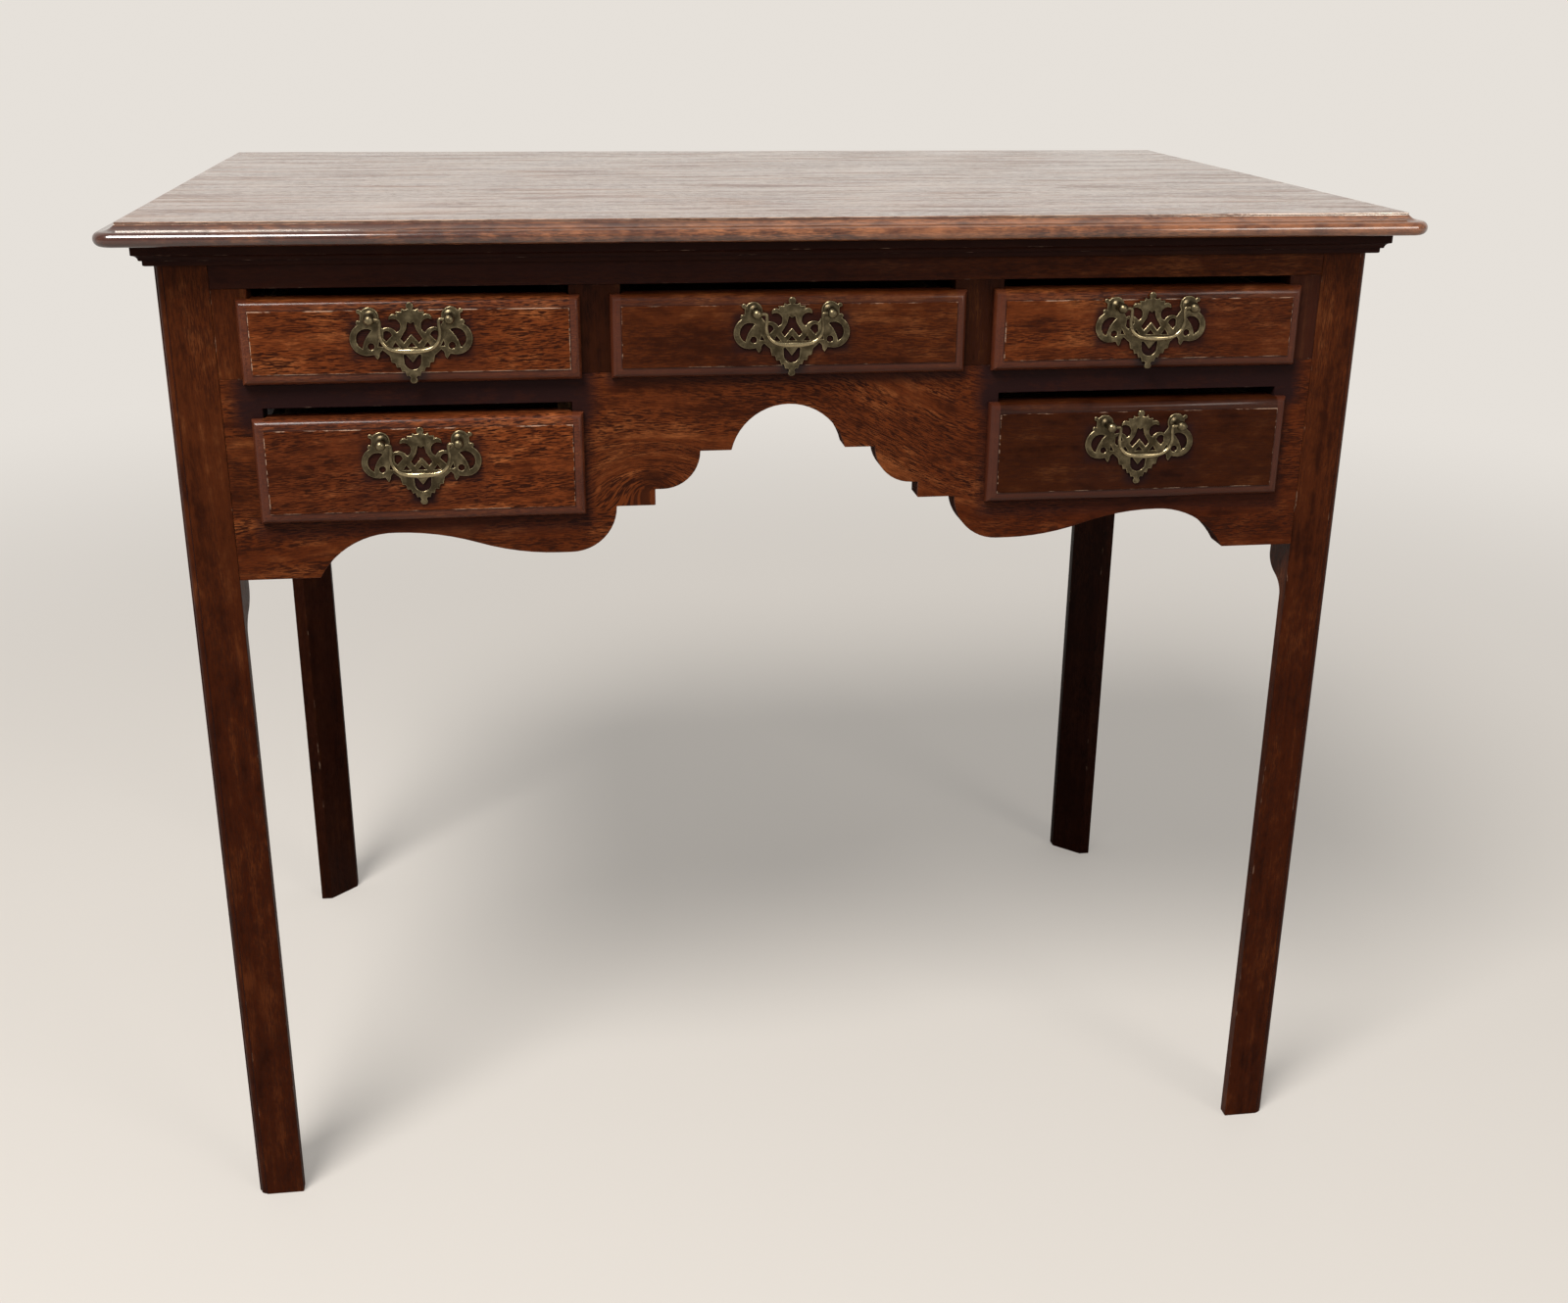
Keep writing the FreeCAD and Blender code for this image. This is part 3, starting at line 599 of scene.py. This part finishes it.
class Outline:
    """A closed outline in a plane, drawn from point to point in millimetres."""

    ON_AXIS = 1e-6  # millimetres

    def __init__(self, x, y):
        self.points = [Vector((x, y))]

    def line(self, *points):
        self.points += [Vector(point) for point in points]
        return self

    def arc(self, through, end, steps=12):
        """An arc through one point to another."""
        start, halfway, last = self.points[-1], Vector(through), Vector(end)
        a, b = halfway - start, last - start
        cross = 2 * a.cross(b)
        centre = start + Vector(
            (b.y * a.length_squared - a.y * b.length_squared, a.x * b.length_squared - b.x * a.length_squared)
        ) / cross
        spoke = start - centre
        turn = (last - centre).angle_signed(spoke, 0) % (2 * math.pi)
        passed = (halfway - centre).angle_signed(spoke, 0) % (2 * math.pi)
        if passed > turn:
            turn -= 2 * math.pi
        for number in range(1, steps + 1):
            angle = turn * number / steps
            cosine, sine = math.cos(angle), math.sin(angle)
            swung = Vector((spoke.x * cosine - spoke.y * sine, spoke.x * sine + spoke.y * cosine))
            self.points.append(centre + swung)
        return self

    def flipped(self):
        """The points of the mirror image."""
        return [Vector((-point.x, point.y)) for point in self.points]

    def mirrored(self):
        """The points with their mirror image, where they start and end on the middle line."""
        return self.points + [point for point in reversed(self.flipped()) if point.x < -self.ON_AXIS]


def plate_edge():
    """From the crest down one side to the tail."""
    edge = Outline(0, 25.7).arc((2.35, 23.6), (1.5, 21.4), 10)
    edge.line((3.4, 20.9), (5.1, 22.0), (5.6, 19.9), (8.8, 20.0), (8.6, 18.0))
    edge.arc((12.4, 17.8), (13.3, 14.6)).arc((6.6, 12.3), (9.0, 6.9), 14)
    edge.arc((12.8, 10.0), (17.4, 9.4)).line((20.2, 13.4))
    edge.arc((21.2, 21.2), (25.2, 22.9), 14).arc((28.2, 22.1), (30.0, 20.5), 5)
    edge.arc((32.9, 20.9), (31.2, 18.7), 8).line((31.0, 17.5), (31.3, 14.4))
    edge.arc((33.8, 13.6), (33.0, 11.75), 8).arc((38.3, 2.5), (27.0, -7.6), 30)
    edge.line((23.6, -7.2), (22.9, -8.6), (21.6, -10.3), (20.3, -8.4), (20.0, -6.0), (18.3, -4.2))
    edge.line((14.2, -7.8), (13.2, -12.2), (11.0, -12.6), (10.2, -15.6), (8.0, -15.4), (7.0, -18.4))
    edge.line((5.2, -18.0), (4.3, -21.0), (2.6, -20.9), (1.7, -22.2)).arc((2.35, -24.2), (0, -25.8), 8)
    return edge.mirrored()


def plate_openings():
    """Three openings on the middle line, and five on each side of it."""
    chevron = Outline(0, 12.1).line((1.9, 13.4), (3.1, 8.6), (6.8, 2.8), (4.7, 0.3), (0, 5.8))
    chevron.line((-4.7, 0.3), (-6.8, 2.8), (-3.1, 8.6), (-1.9, 13.4))
    triangle = Outline(0, 0.6).line((2.6, -2.5), (-2.6, -2.5))
    tongue = Outline(5.5, -7.4).line((5.2, -11.5)).arc((0, -16.9), (-5.2, -11.5), 16)
    tongue.line((-5.5, -7.4), (-4.0, -7.4), (0, -12.4), (4.0, -7.4))
    dart = Outline(10.0, 0.6).line((12.0, -2.6), (7.6, -2.6))
    shield = Outline(12.0, 4.9).arc((14.0, 7.6), (17.0, 7.3), 8).line((17.3, 3.4), (15.6, 1.2))
    crescent = Outline(24.4, 8.3).arc((33.9, 4.6), (30.6, -3.0), 18).arc((28.7, 2.6), (24.4, 8.3), 12)
    eye = Outline(27.3, -1.8).arc((25.2, 0.3), (23.1, -1.8), 8).arc((25.2, -3.9), (27.3, -1.8), 8)
    slot = Outline(18.0, -2.2).line((20.6, -1.9), (20.0, 1.2))
    sides = [dart, shield, crescent, eye, slot]
    whole = [opening.points for opening in (chevron, triangle, tongue, *sides)]
    return whole + [opening.flipped() for opening in sides]


# The woodwork


def dress(context, node, width, body="carcase", slot="varnished_oak", easing=None, **settings):
    """A worn copy of a wooden node in its place, with its own cut of oak."""
    piece = eased(node, width, **(easing or {}))
    finish_with(piece, varnished_oak(f"oak_{node}", context.scene.lowboy_colours, **settings))
    belongs(piece, body, node)


def uprights():
    """Where the stiles and dividers stand along the rails that hold their tongues."""
    places = []
    for pair in ("end_stiles", "dividers"):
        low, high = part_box(pair)
        inner = min(abs(vertex.co.x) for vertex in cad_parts[pair].data.vertices)
        places += [(low.x - inner) / 2, (high.x + inner) / 2]
    return places


class LOWBOY_OT_top(bpy.types.Operator):
    """Makes the polished top with its moulded edge"""

    bl_idname = "lowboy.top"
    bl_label = "Top"

    def execute(self, context):
        low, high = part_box("top_board")
        moulding = 13 * MM
        edge = ((low.x + moulding, low.y + moulding, low.z), (high.x - moulding, high.y, high.z))
        piece = eased("top_board", context.scene.lowboy_sizes.fine_edge_wear)
        finish_with(piece, polished_oak("oak_top_board", context.scene.lowboy_colours, "X", 3, edge))
        belongs(piece, "carcase", "top_board")
        return {"FINISHED"}


class LOWBOY_OT_mouldings(bpy.types.Operator):
    """Makes the bed mould under the top"""

    bl_idname = "lowboy.mouldings"
    bl_label = "Bed mould"

    def execute(self, context):
        width = context.scene.lowboy_sizes.fine_edge_wear
        # the bed mould's low share and all-over darkening are painted shade under the top's overhang
        settings = {"slot": "dark_oak", "shade": 0.16, "contrast": 0.6, "rub": 0.1}
        for seed, (side, along) in enumerate((("front", "X"), ("left", "Y"), ("right", "Y")), 11):
            node = f"bed_mould_{side}"
            painted_shade_all_over = (*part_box(node), 1 * MM, 0.6)
            dress(context, node, width, along=along, seed=seed, grime=[painted_shade_all_over], **settings)
        return {"FINISHED"}


class LOWBOY_OT_legs(bpy.types.Operator):
    """Makes the four legs, with painted shade darkening them towards the floor"""

    bl_idname = "lowboy.legs"
    bl_label = "Legs"

    def execute(self, context):
        width = context.scene.lowboy_sizes.edge_wear
        # the back legs' small shares are painted shade under the table
        shades = {"front_left": 0.44, "front_right": 0.46, "back_left": 0.16, "back_right": 0.11}
        # the painted shade on the legs: how high it reaches, its fade, and how much it darkens them
        painted_shade_height, fade, tint = 0.36, 0.26, (0.60, 0.48, 0.40)
        mortises = [middle(joined).z for joined in ("frieze_rail", "lower_left_front")]
        easing = {"shortest": 6 * MM, "holes": mortises, "across": "Z"}
        for seed, (corner, shade) in enumerate(shades.items(), 21):
            node = f"{corner}_leg"
            low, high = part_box(node)
            foot = (low, (high.x, high.y, painted_shade_height), fade, tint)
            settings = {"shade": shade, "contrast": 0.7, "rub": 0.0, "darkened_and_shaded": [foot]}
            dress(context, node, width, easing=easing, along="Z", seed=seed, **settings)
        return {"FINISHED"}


class LOWBOY_OT_frame(bpy.types.Operator):
    """Makes the frieze rail, stiles and dividers round the drawers"""

    bl_idname = "lowboy.frame"
    bl_label = "Front frame"

    def execute(self, context):
        width = context.scene.lowboy_sizes.fine_edge_wear
        low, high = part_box("frieze_rail")
        # painted shade over the frieze's left end
        painted_shade_end, fade = -0.05, 0.30
        left = (low, (painted_shade_end, high.y, high.z), fade, 0.85)
        settings = {"slot": "dark_oak", "shade": 0.44, "contrast": 0.7, "rub": 0, "grime": [left]}
        dress(context, "frieze_rail", width, easing={"holes": uprights()}, along="X", seed=31, **settings)
        low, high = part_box("end_stiles")
        right = ((0, low.y, low.z), high, 1 * MM, 0.65)
        settings = {"shade": 0.46, "contrast": 0.55, "rub": 0.1, "grime": [right]}
        dress(context, "end_stiles", width, along="Z", seed=32, **settings)
        dress(context, "dividers", width, along="Z", seed=33, shade=0.16, rub=0)
        return {"FINISHED"}


def apron_grime():
    """Painted shade on the apron between the two rows of drawers, round the lower ones and round the middle
    one.
    """
    before, behind = -1, 0
    grime = []
    for side in ("left", "right"):
        start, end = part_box(f"upper_{side}_front")
        low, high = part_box(f"lower_{side}_front")
        grime.append(((start.x, before, high.z), (end.x, behind, start.z), 14 * MM, 1.2))
        grime.append(((low.x, before, low.z - 7 * MM), (high.x, behind, high.z), 9 * MM, 0.6))
    low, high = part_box("upper_middle_front")
    grime.append(((low.x, before, low.z - 2 * MM), (high.x, behind, high.z), 8 * MM, 0.8))
    return grime


class LOWBOY_OT_apron(bpy.types.Operator):
    """Makes the shaped apron board and the block let into it"""

    bl_idname = "lowboy.apron"
    bl_label = "Apron"

    def execute(self, context):
        width = context.scene.lowboy_sizes.fine_edge_wear
        start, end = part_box("apron_board")
        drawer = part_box("lower_right_front")[0]
        # painted shade on the apron below the lower drawers, darker towards the floor
        foot = (start, (end.x, end.y, drawer.z - 9 * MM), 12 * MM, (0.76, 0.70, 0.66))
        right = ((drawer.x, start.y, start.z), end, 0.10, (0.85, 0.80, 0.80))
        knot_x, knot_z, knot_radius = -0.092, 0.549, 14 * MM
        dip_start, dip_end, dip_depth = 0.0, 0.15, 0.050
        openings = [middle(f"lower_{side}_front").x for side in ("left", "right")]
        settings = {"shade": 0.70, "wander": 0.022, "rub": 0.0, "face": start.y}
        settings.update({"grime": apron_grime(), "darkened_and_shaded": [foot, right]})
        settings["knot"] = (Vector((knot_x, start.y, knot_z)), knot_radius)
        settings["dip"] = (dip_start, dip_end, dip_depth)
        easing = {"holes": openings + uprights()}
        dress(context, "apron_board", width, easing=easing, along="X", seed=41, **settings)
        dress(context, "apron_block", width, along="X", seed=42, shade=0.6, rub=0.0)
        return {"FINISHED"}


class LOWBOY_OT_panels(bpy.types.Operator):
    """Makes the side panels and the back panel"""

    bl_idname = "lowboy.panels"
    bl_label = "Panels"

    def execute(self, context):
        width = context.scene.lowboy_sizes.edge_wear
        for seed, side in enumerate(("left", "right"), 51):
            dress(context, f"{side}_side_panel", width, along="Y", seed=seed, shade=0.6, rub=0.2)
        back = eased("back_panel", width)
        finish_with(back, bare_oak("oak_back_panel", context.scene.lowboy_colours, "X", 53))
        belongs(back, "carcase", "back_panel")
        return {"FINISHED"}


class LOWBOY_OT_inside(bpy.types.Operator):
    """Makes the runners, guides, kickers and glue blocks, and the drawers' sides, backs and bottoms"""

    bl_idname = "lowboy.inside"
    bl_label = "Inside"

    def execute(self, context):
        colours = context.scene.lowboy_colours
        width = context.scene.lowboy_sizes.fine_edge_wear
        along_y = bare_oak("oak_inside_lengthwise", colours, "Y", 61)
        along_x = bare_oak("oak_inside_crosswise", colours, "X", 62)
        fixed = ("drawer_runners", "drawer_guides", "drawer_kickers", "corner_blocks")
        pieces = [(node, "carcase", along_y) for node in fixed]
        for drawer in DRAWERS:
            for part, material in (("sides", along_y), ("back", along_x), ("bottom", along_x)):
                pieces.append((f"{drawer}_{part}", f"{drawer}_drawer", material))
        for node, body, material in pieces:
            piece = eased(node, width, shortest=4 * MM)
            finish_with(piece, material)
            belongs(piece, body, node)
        return {"FINISHED"}


def handle_grime(drawer):
    """Dirt and painted shade on a front behind its backplate's wings and tail, and faint dirt all round the
    plate.
    """
    low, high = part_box(f"{drawer}_front")
    start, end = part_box(f"{drawer}_backplate")
    centre, wing, tail = (start.x + end.x) / 2, start.z + 18 * MM, start.z + 4 * MM
    wings = ((start.x + 3 * MM, low.y, wing), (end.x - 3 * MM, high.y, end.z - 13 * MM), 6 * MM, 0.9)
    below = ((centre - 4 * MM, low.y, tail), (centre + 4 * MM, high.y, wing), 9 * MM, 1.1)
    around = ((start.x, low.y, tail), (end.x, high.y, end.z - 8 * MM), 14 * MM, 0.25)
    return [wings, below, around]


class LOWBOY_OT_fronts(bpy.types.Operator):
    """Makes the lipped drawer fronts"""

    bl_idname = "lowboy.fronts"
    bl_label = "Drawer fronts"

    def execute(self, context):
        width = context.scene.lowboy_sizes.fine_edge_wear
        cuts = {
            "upper_left": {"tone": 0.52, "shade": 0.90, "tilt": 1.5, "rub": 0.7},
            "upper_middle": {"tone": 0.50, "shade": 0.46, "contrast": 0.75, "rub": 0.3},
            "upper_right": {"tone": 0.50, "shade": 0.76, "tilt": 2, "contrast": 0.85, "rub": 0.5},
            "lower_left": {"tone": 0.49, "shade": 1.0, "tilt": 5, "rub": 0.6},
            "lower_right": {"tone": 0.48, "shade": 0.25, "contrast": 0.7, "rub": 0.4},
        }
        moulding = Vector((7 * MM, 0, 7 * MM))
        dark_fade, dark_tint = 0.06, (0.70, 0.70, 0.78)
        for seed, (drawer, cut) in enumerate(cuts.items(), 71):
            low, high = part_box(f"{drawer}_front")
            start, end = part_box(f"{drawer}_backplate")
            dark_ends = {"upper_right": (end.x, high.x), "lower_left": (low.x, start.x)}
            if drawer in dark_ends:
                first, last = dark_ends[drawer]
                cut["darkened_and_shaded"] = [((first, low.y, low.z), (last, high.y, high.z), dark_fade, dark_tint)]
            first_post, last_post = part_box(f"{drawer}_posts")
            inset = (last_post.z - first_post.z) / 2
            holes = (first_post.x + inset, last_post.x - inset)
            cut["easing"] = {"shortest": 6 * MM, "holes": holes}
            cut["field"] = (low + moulding, high - moulding)
            cut["grime"] = handle_grime(drawer)
            dress(context, f"{drawer}_front", width, f"{drawer}_drawer", along="X", seed=seed, **cut)
        return {"FINISHED"}


# The handles


def place_copies(model, kind):
    """Copies of the upper middle drawer's model at every drawer, each with its own mesh; the model goes."""
    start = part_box(f"upper_middle_{kind}")[0]
    for drawer in DRAWERS:
        piece = copy_of(model, f"{drawer}_brass_{kind}")
        piece.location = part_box(f"{drawer}_{kind}")[0] - start
        settle(piece)
        body = f"{drawer}_pull" if kind == "bail" else f"{drawer}_drawer"
        belongs(piece, body, f"{drawer}_{kind}")
    bpy.data.objects.remove(model)


def mark_wear(piece, amount):
    """Marks each vertex with how bright hands keep it, from its place."""
    mark = piece.data.attributes.new("wear", "FLOAT", "POINT")
    for vertex in piece.data.vertices:
        mark.data[vertex.index].value = amount(vertex.co)


class LOWBOY_OT_backplates(bpy.types.Operator):
    """Makes the pierced backplates with a filed edge round each outline"""

    bl_idname = "lowboy.backplates"
    bl_label = "Backplates"

    def execute(self, context):
        low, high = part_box("upper_middle_backplate")
        bevel = context.scene.lowboy_sizes.plate_bevel
        face = (high.y - low.y) / 2
        rim = face - bevel
        crest = 25.68 * MM
        curve = bpy.data.curves.new("backplate", "CURVE")
        curve.dimensions = "2D"
        curve.fill_mode = "BOTH"
        for outline in (plate_edge(), *plate_openings()):
            spline = curve.splines.new("POLY")
            spline.points.add(len(outline) - 1)
            for point, (x, y) in zip(spline.points, outline):
                point.co = (x * MM, y * MM, 0, 1)
            spline.use_cyclic_u = True
        curve.extrude = rim
        curve.bevel_depth = bevel
        curve.bevel_resolution = 2
        curve.offset = -bevel
        plate = mesh_of(curve)
        clean(plate, 40)
        mark_wear(plate, lambda at: 0.5 if rim - TOUCHING < at.z < face - TOUCHING else 0.0)
        centre = (low + high) / 2
        plate.rotation_euler = (math.pi / 2, 0, 0)
        plate.location = (centre.x, centre.y, high.z - crest)
        settle(plate)
        even_shading(plate)
        finish_with(plate, brass(context))
        place_copies(plate, "backplate")
        return {"FINISHED"}


def turned(name, profile, steps=40):
    """A turned piece about Y from a profile of (radius, y) in metres that starts and ends on the axis."""
    bpy.ops.mesh.primitive_plane_add(size=1)
    piece = bpy.context.object
    piece.name = name
    edit(piece)
    bpy.ops.mesh.delete(type="VERT")
    mesh = bmesh.from_edit_mesh(piece.data)
    line = [mesh.verts.new((radius, y, 0)) for radius, y in profile]
    for first, second in zip(line, line[1:]):
        mesh.edges.new((first, second))
    bmesh.update_edit_mesh(piece.data)
    bpy.ops.mesh.select_all(action="SELECT")
    bpy.ops.mesh.spin(steps=steps, angle=2 * math.pi, center=(0, 0, 0), axis=(0, 1, 0))
    clean(piece, 35)
    return piece


def ball(centre, radius, last, steps):
    """Points of a turned ball round a centre on the axis, from its front to this many degrees."""
    points = []
    for number in range(steps + 1):
        angle = math.radians(last * number / steps)
        points.append((radius * math.sin(angle), centre - radius * math.cos(angle)))
    return points


class LOWBOY_OT_posts(bpy.types.Operator):
    """Makes the turned handle posts, each with a ball, a neck, a flared foot and a threaded stem"""

    bl_idname = "lowboy.posts"
    bl_label = "Handle posts"

    def execute(self, context):
        low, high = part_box("upper_middle_posts")
        centre = (low + high) / 2
        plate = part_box("upper_middle_backplate")[0].y
        stem = context.scene.lowboy_sizes.stem_radius
        ball_radius = 3.4 * MM
        foot_radius = (high.z - low.z) / 2
        plain_stem, pitch, thread_depth = 18 * MM, 0.5 * MM, 0.3 * MM
        profile = ball(low.y + ball_radius, ball_radius, 146, 22)
        neck = profile[-1][1]
        profile += [(1.75 * MM, neck + 0.7 * MM), (1.65 * MM, neck + 1.9 * MM), (1.8 * MM, plate - 3.4 * MM)]
        profile += [(2.3 * MM, plate - 2.2 * MM), (3.2 * MM, plate - 1.3 * MM)]
        profile += [(foot_radius, plate - 0.75 * MM), (foot_radius, plate), (stem, plate)]
        thread = plate + plain_stem
        while thread < high.y - 0.9 * MM:
            profile += [(stem, thread), (stem - thread_depth, thread + pitch / 2)]
            thread += pitch
        profile += [(stem, high.y - 0.4 * MM), (stem - 0.4 * MM, high.y), (0, high.y)]
        post = turned("post", profile)
        mark_wear(post, lambda at: 0.25 if at.y < neck else 0.0)
        finish_with(post, brass(context))
        pair = copy_of(post, "posts")
        reach = (high.x - low.x) / 2 - foot_radius
        for piece, side in ((pair, 1), (post, -1)):
            piece.location = (centre.x + side * reach, 0, centre.z)
            settle(piece)
        take(pair, post)
        bpy.ops.object.join()
        place_copies(pair, "posts")
        return {"FINISHED"}


class LOWBOY_OT_bails(bpy.types.Operator):
    """Makes the bails, bent from a rod that swells to a grip"""

    bl_idname = "lowboy.bails"
    bl_label = "Bails"

    def execute(self, context):
        sizes = context.scene.lowboy_sizes
        low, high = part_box("upper_middle_bail")
        reach = (high.x - low.x) / 2
        pin, bend = 7.0 * MM, 11.2 * MM
        arm = reach - pin
        drop = high.z - low.z - sizes.bail_radius - sizes.grip_radius
        grip = sizes.grip_radius / sizes.bail_radius
        # x, z and share of the rod's radius, from the end of a pin to the middle of the grip
        half = [(reach, 0, 1.0), (arm + 2.2 * MM, 0, 1.0), (arm + 0.2 * MM, 0.2 * MM, 1.1)]
        half += [(arm, -1.8 * MM, 0.95), (arm, -5.0 * MM, 0.95)]
        outside = 1.08 * bend  # the rod passes inside the points of its bend
        for angle in (0, 30, 60):
            across, down = (outside * turn(math.radians(angle)) for turn in (math.cos, math.sin))
            half.append((arm - bend + across, bend - drop - down, 1.0 + 0.1 * angle / 60))
        half += [(5.5 * MM, -drop, 0.4 + 0.6 * grip), (1.8 * MM, -drop, grip)]
        points = half + [(-x, z, radius) for x, z, radius in reversed(half)]
        curve = bpy.data.curves.new("bail", "CURVE")
        curve.dimensions = "3D"
        curve.bevel_depth = sizes.bail_radius
        curve.bevel_resolution = 5
        curve.use_fill_caps = True
        spline = curve.splines.new("NURBS")
        spline.points.add(len(points) - 1)
        for point, (x, z, radius) in zip(spline.points, points):
            point.co = (x, 0, z, 1)
            point.radius = radius
        spline.order_u = 4
        spline.use_endpoint_u = True
        spline.resolution_u = 8
        bail = mesh_of(curve)
        clean(bail, 50)
        mark_wear(bail, lambda at: 1.0 if at.z < -0.7 * drop else 0.3)
        finish_with(bail, brass(context))
        centre = (low + high) / 2
        bail.location = (centre.x, centre.y, high.z - sizes.bail_radius)
        settle(bail)
        place_copies(bail, "bail")
        return {"FINISHED"}


class LOWBOY_OT_nuts(bpy.types.Operator):
    """Makes the square nuts on the handle posts' stems"""

    bl_idname = "lowboy.nuts"
    bl_label = "Nuts"

    def execute(self, context):
        width = context.scene.lowboy_sizes.nut_wear
        for drawer in DRAWERS:
            low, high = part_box(f"{drawer}_nuts")
            inset = (high.z - low.z) / 2
            piece = eased(f"{drawer}_nuts", width, holes=(low.x + inset, high.x - inset))
            finish_with(piece, brass(context))
            belongs(piece, f"{drawer}_drawer", f"{drawer}_nuts")
        return {"FINISHED"}


# The stage

SEES_BACKGROUND = ("Camera", "Glossy", "Transmission")


def floor_finish(stage):
    """A plain floor, darker to the light that bounces off it, that fades into the background."""
    near, far = 0.8, 2.8
    bounced, lit = 0.75, 0.3
    finish = Finish("plain_floor")
    plain = finish.node("ShaderNodeBsdfDiffuse", None, {"Color": (*shaded(stage.floor, bounced), 1)})
    pale = finish.node("ShaderNodeBsdfDiffuse", None, {"Color": (*stage.floor, 1)})
    pale = finish.mix(lit, pale, finish.glow(stage.background))
    floor = finish.mix(finish.is_ray("Camera"), plain, pale)
    background = finish.shown(SEES_BACKGROUND, stage.background, plain)
    fade = finish.step(finish.distance(finish.place), near, far)
    return finish.surface(finish.mix(fade, floor, background))


def backdrop_finish(stage):
    """An even glow that stops no light."""
    finish = Finish("plain_backdrop")
    clear = finish.node("ShaderNodeBsdfTransparent")
    return finish.surface(finish.shown(SEES_BACKGROUND, stage.background, clear))


def plane(name, material, **placing):
    bpy.ops.mesh.primitive_plane_add(size=60, **placing)
    piece = bpy.context.object
    piece.name = name
    settle(piece)
    finish_with(piece, material)


def lamp(name, place, target, size, power, shade):
    bpy.ops.object.light_add(type="AREA", location=place)
    light = bpy.context.object
    light.name = name
    light.data.shape = "DISK"
    light.data.size = size
    light.data.energy = power
    light.data.color = shade
    light.rotation_euler = (Vector(target) - Vector(place)).to_track_quat("-Z", "Y").to_euler()


class LOWBOY_OT_stage(bpy.types.Operator):
    """Makes the floor, the backdrop, the lamps and the camera"""

    bl_idname = "lowboy.stage"
    bl_label = "Stage"

    def execute(self, context):
        stage = context.scene.lowboy_stage
        plane("floor", floor_finish(stage))
        plane("backdrop", backdrop_finish(stage), location=(0, 6, 0), rotation=(math.pi / 2, 0, 0))

        world = bpy.data.worlds.new("studio")
        context.scene.world = world
        studio = Nodes(world)
        values = {"Color": (1.0, 0.98, 0.95, 1), "Strength": 0.40}
        ambient = studio.node("ShaderNodeBackground", None, values)
        surface = studio.shown(("Camera", "Transmission"), stage.background, ambient)
        studio.node("ShaderNodeOutputWorld", None, {"Surface": surface})

        window = {"size": 1.6, "power": 180, "shade": (1.0, 0.97, 0.93)}
        lamp("window", place=(-1.3, -1.9, 3.3), target=(0, -0.1, 0.5), **window)
        room = {"size": 1.2, "power": 22, "shade": (1.0, 0.95, 0.88)}
        lamp("room", place=(1.8, -2.6, 1.7), target=(0, 0, 0.5), **room)

        bpy.ops.object.camera_add(location=stage.camera_place, rotation=stage.camera_turn)
        camera = bpy.context.object
        camera.data.lens = stage.focal_length
        camera.data.sensor_width = 36
        context.scene.camera = camera
        context.scene.view_settings.view_transform = "Standard"
        return {"FINISHED"}


OPERATORS = (
    LOWBOY_OT_top,
    LOWBOY_OT_mouldings,
    LOWBOY_OT_legs,
    LOWBOY_OT_frame,
    LOWBOY_OT_apron,
    LOWBOY_OT_panels,
    LOWBOY_OT_inside,
    LOWBOY_OT_fronts,
    LOWBOY_OT_backplates,
    LOWBOY_OT_posts,
    LOWBOY_OT_bails,
    LOWBOY_OT_nuts,
    LOWBOY_OT_stage,
)
GROUPS = {"lowboy_sizes": LowboySizes, "lowboy_colours": LowboyColours, "lowboy_stage": LowboyStage}


class LOWBOY_PT_sidebar(bpy.types.Panel):
    bl_label = "Lowboy"
    bl_space_type = "VIEW_3D"
    bl_region_type = "UI"
    bl_category = "Lowboy"

    def draw(self, context):
        for group in GROUPS:
            settings = getattr(context.scene, group)
            column = self.layout.column()
            for name in settings.bl_rna.properties.keys():
                if name not in ("rna_type", "name"):
                    column.prop(settings, name)
        for operator in OPERATORS:
            self.layout.operator(operator.bl_idname)


def register():
    for group in (*GROUPS.values(), *OPERATORS, LOWBOY_PT_sidebar):
        bpy.utils.register_class(group)
    for name, group in GROUPS.items():
        setattr(bpy.types.Scene, name, bpy.props.PointerProperty(type=group))


def unregister():
    for name in GROUPS:
        delattr(bpy.types.Scene, name)
    for group in (LOWBOY_PT_sidebar, *reversed(OPERATORS), *GROUPS.values()):
        bpy.utils.unregister_class(group)


def main():
    register()
    for operator in OPERATORS:
        getattr(bpy.ops.lowboy, operator.bl_idname.split(".")[1])()


if __name__ == "__main__":
    main()
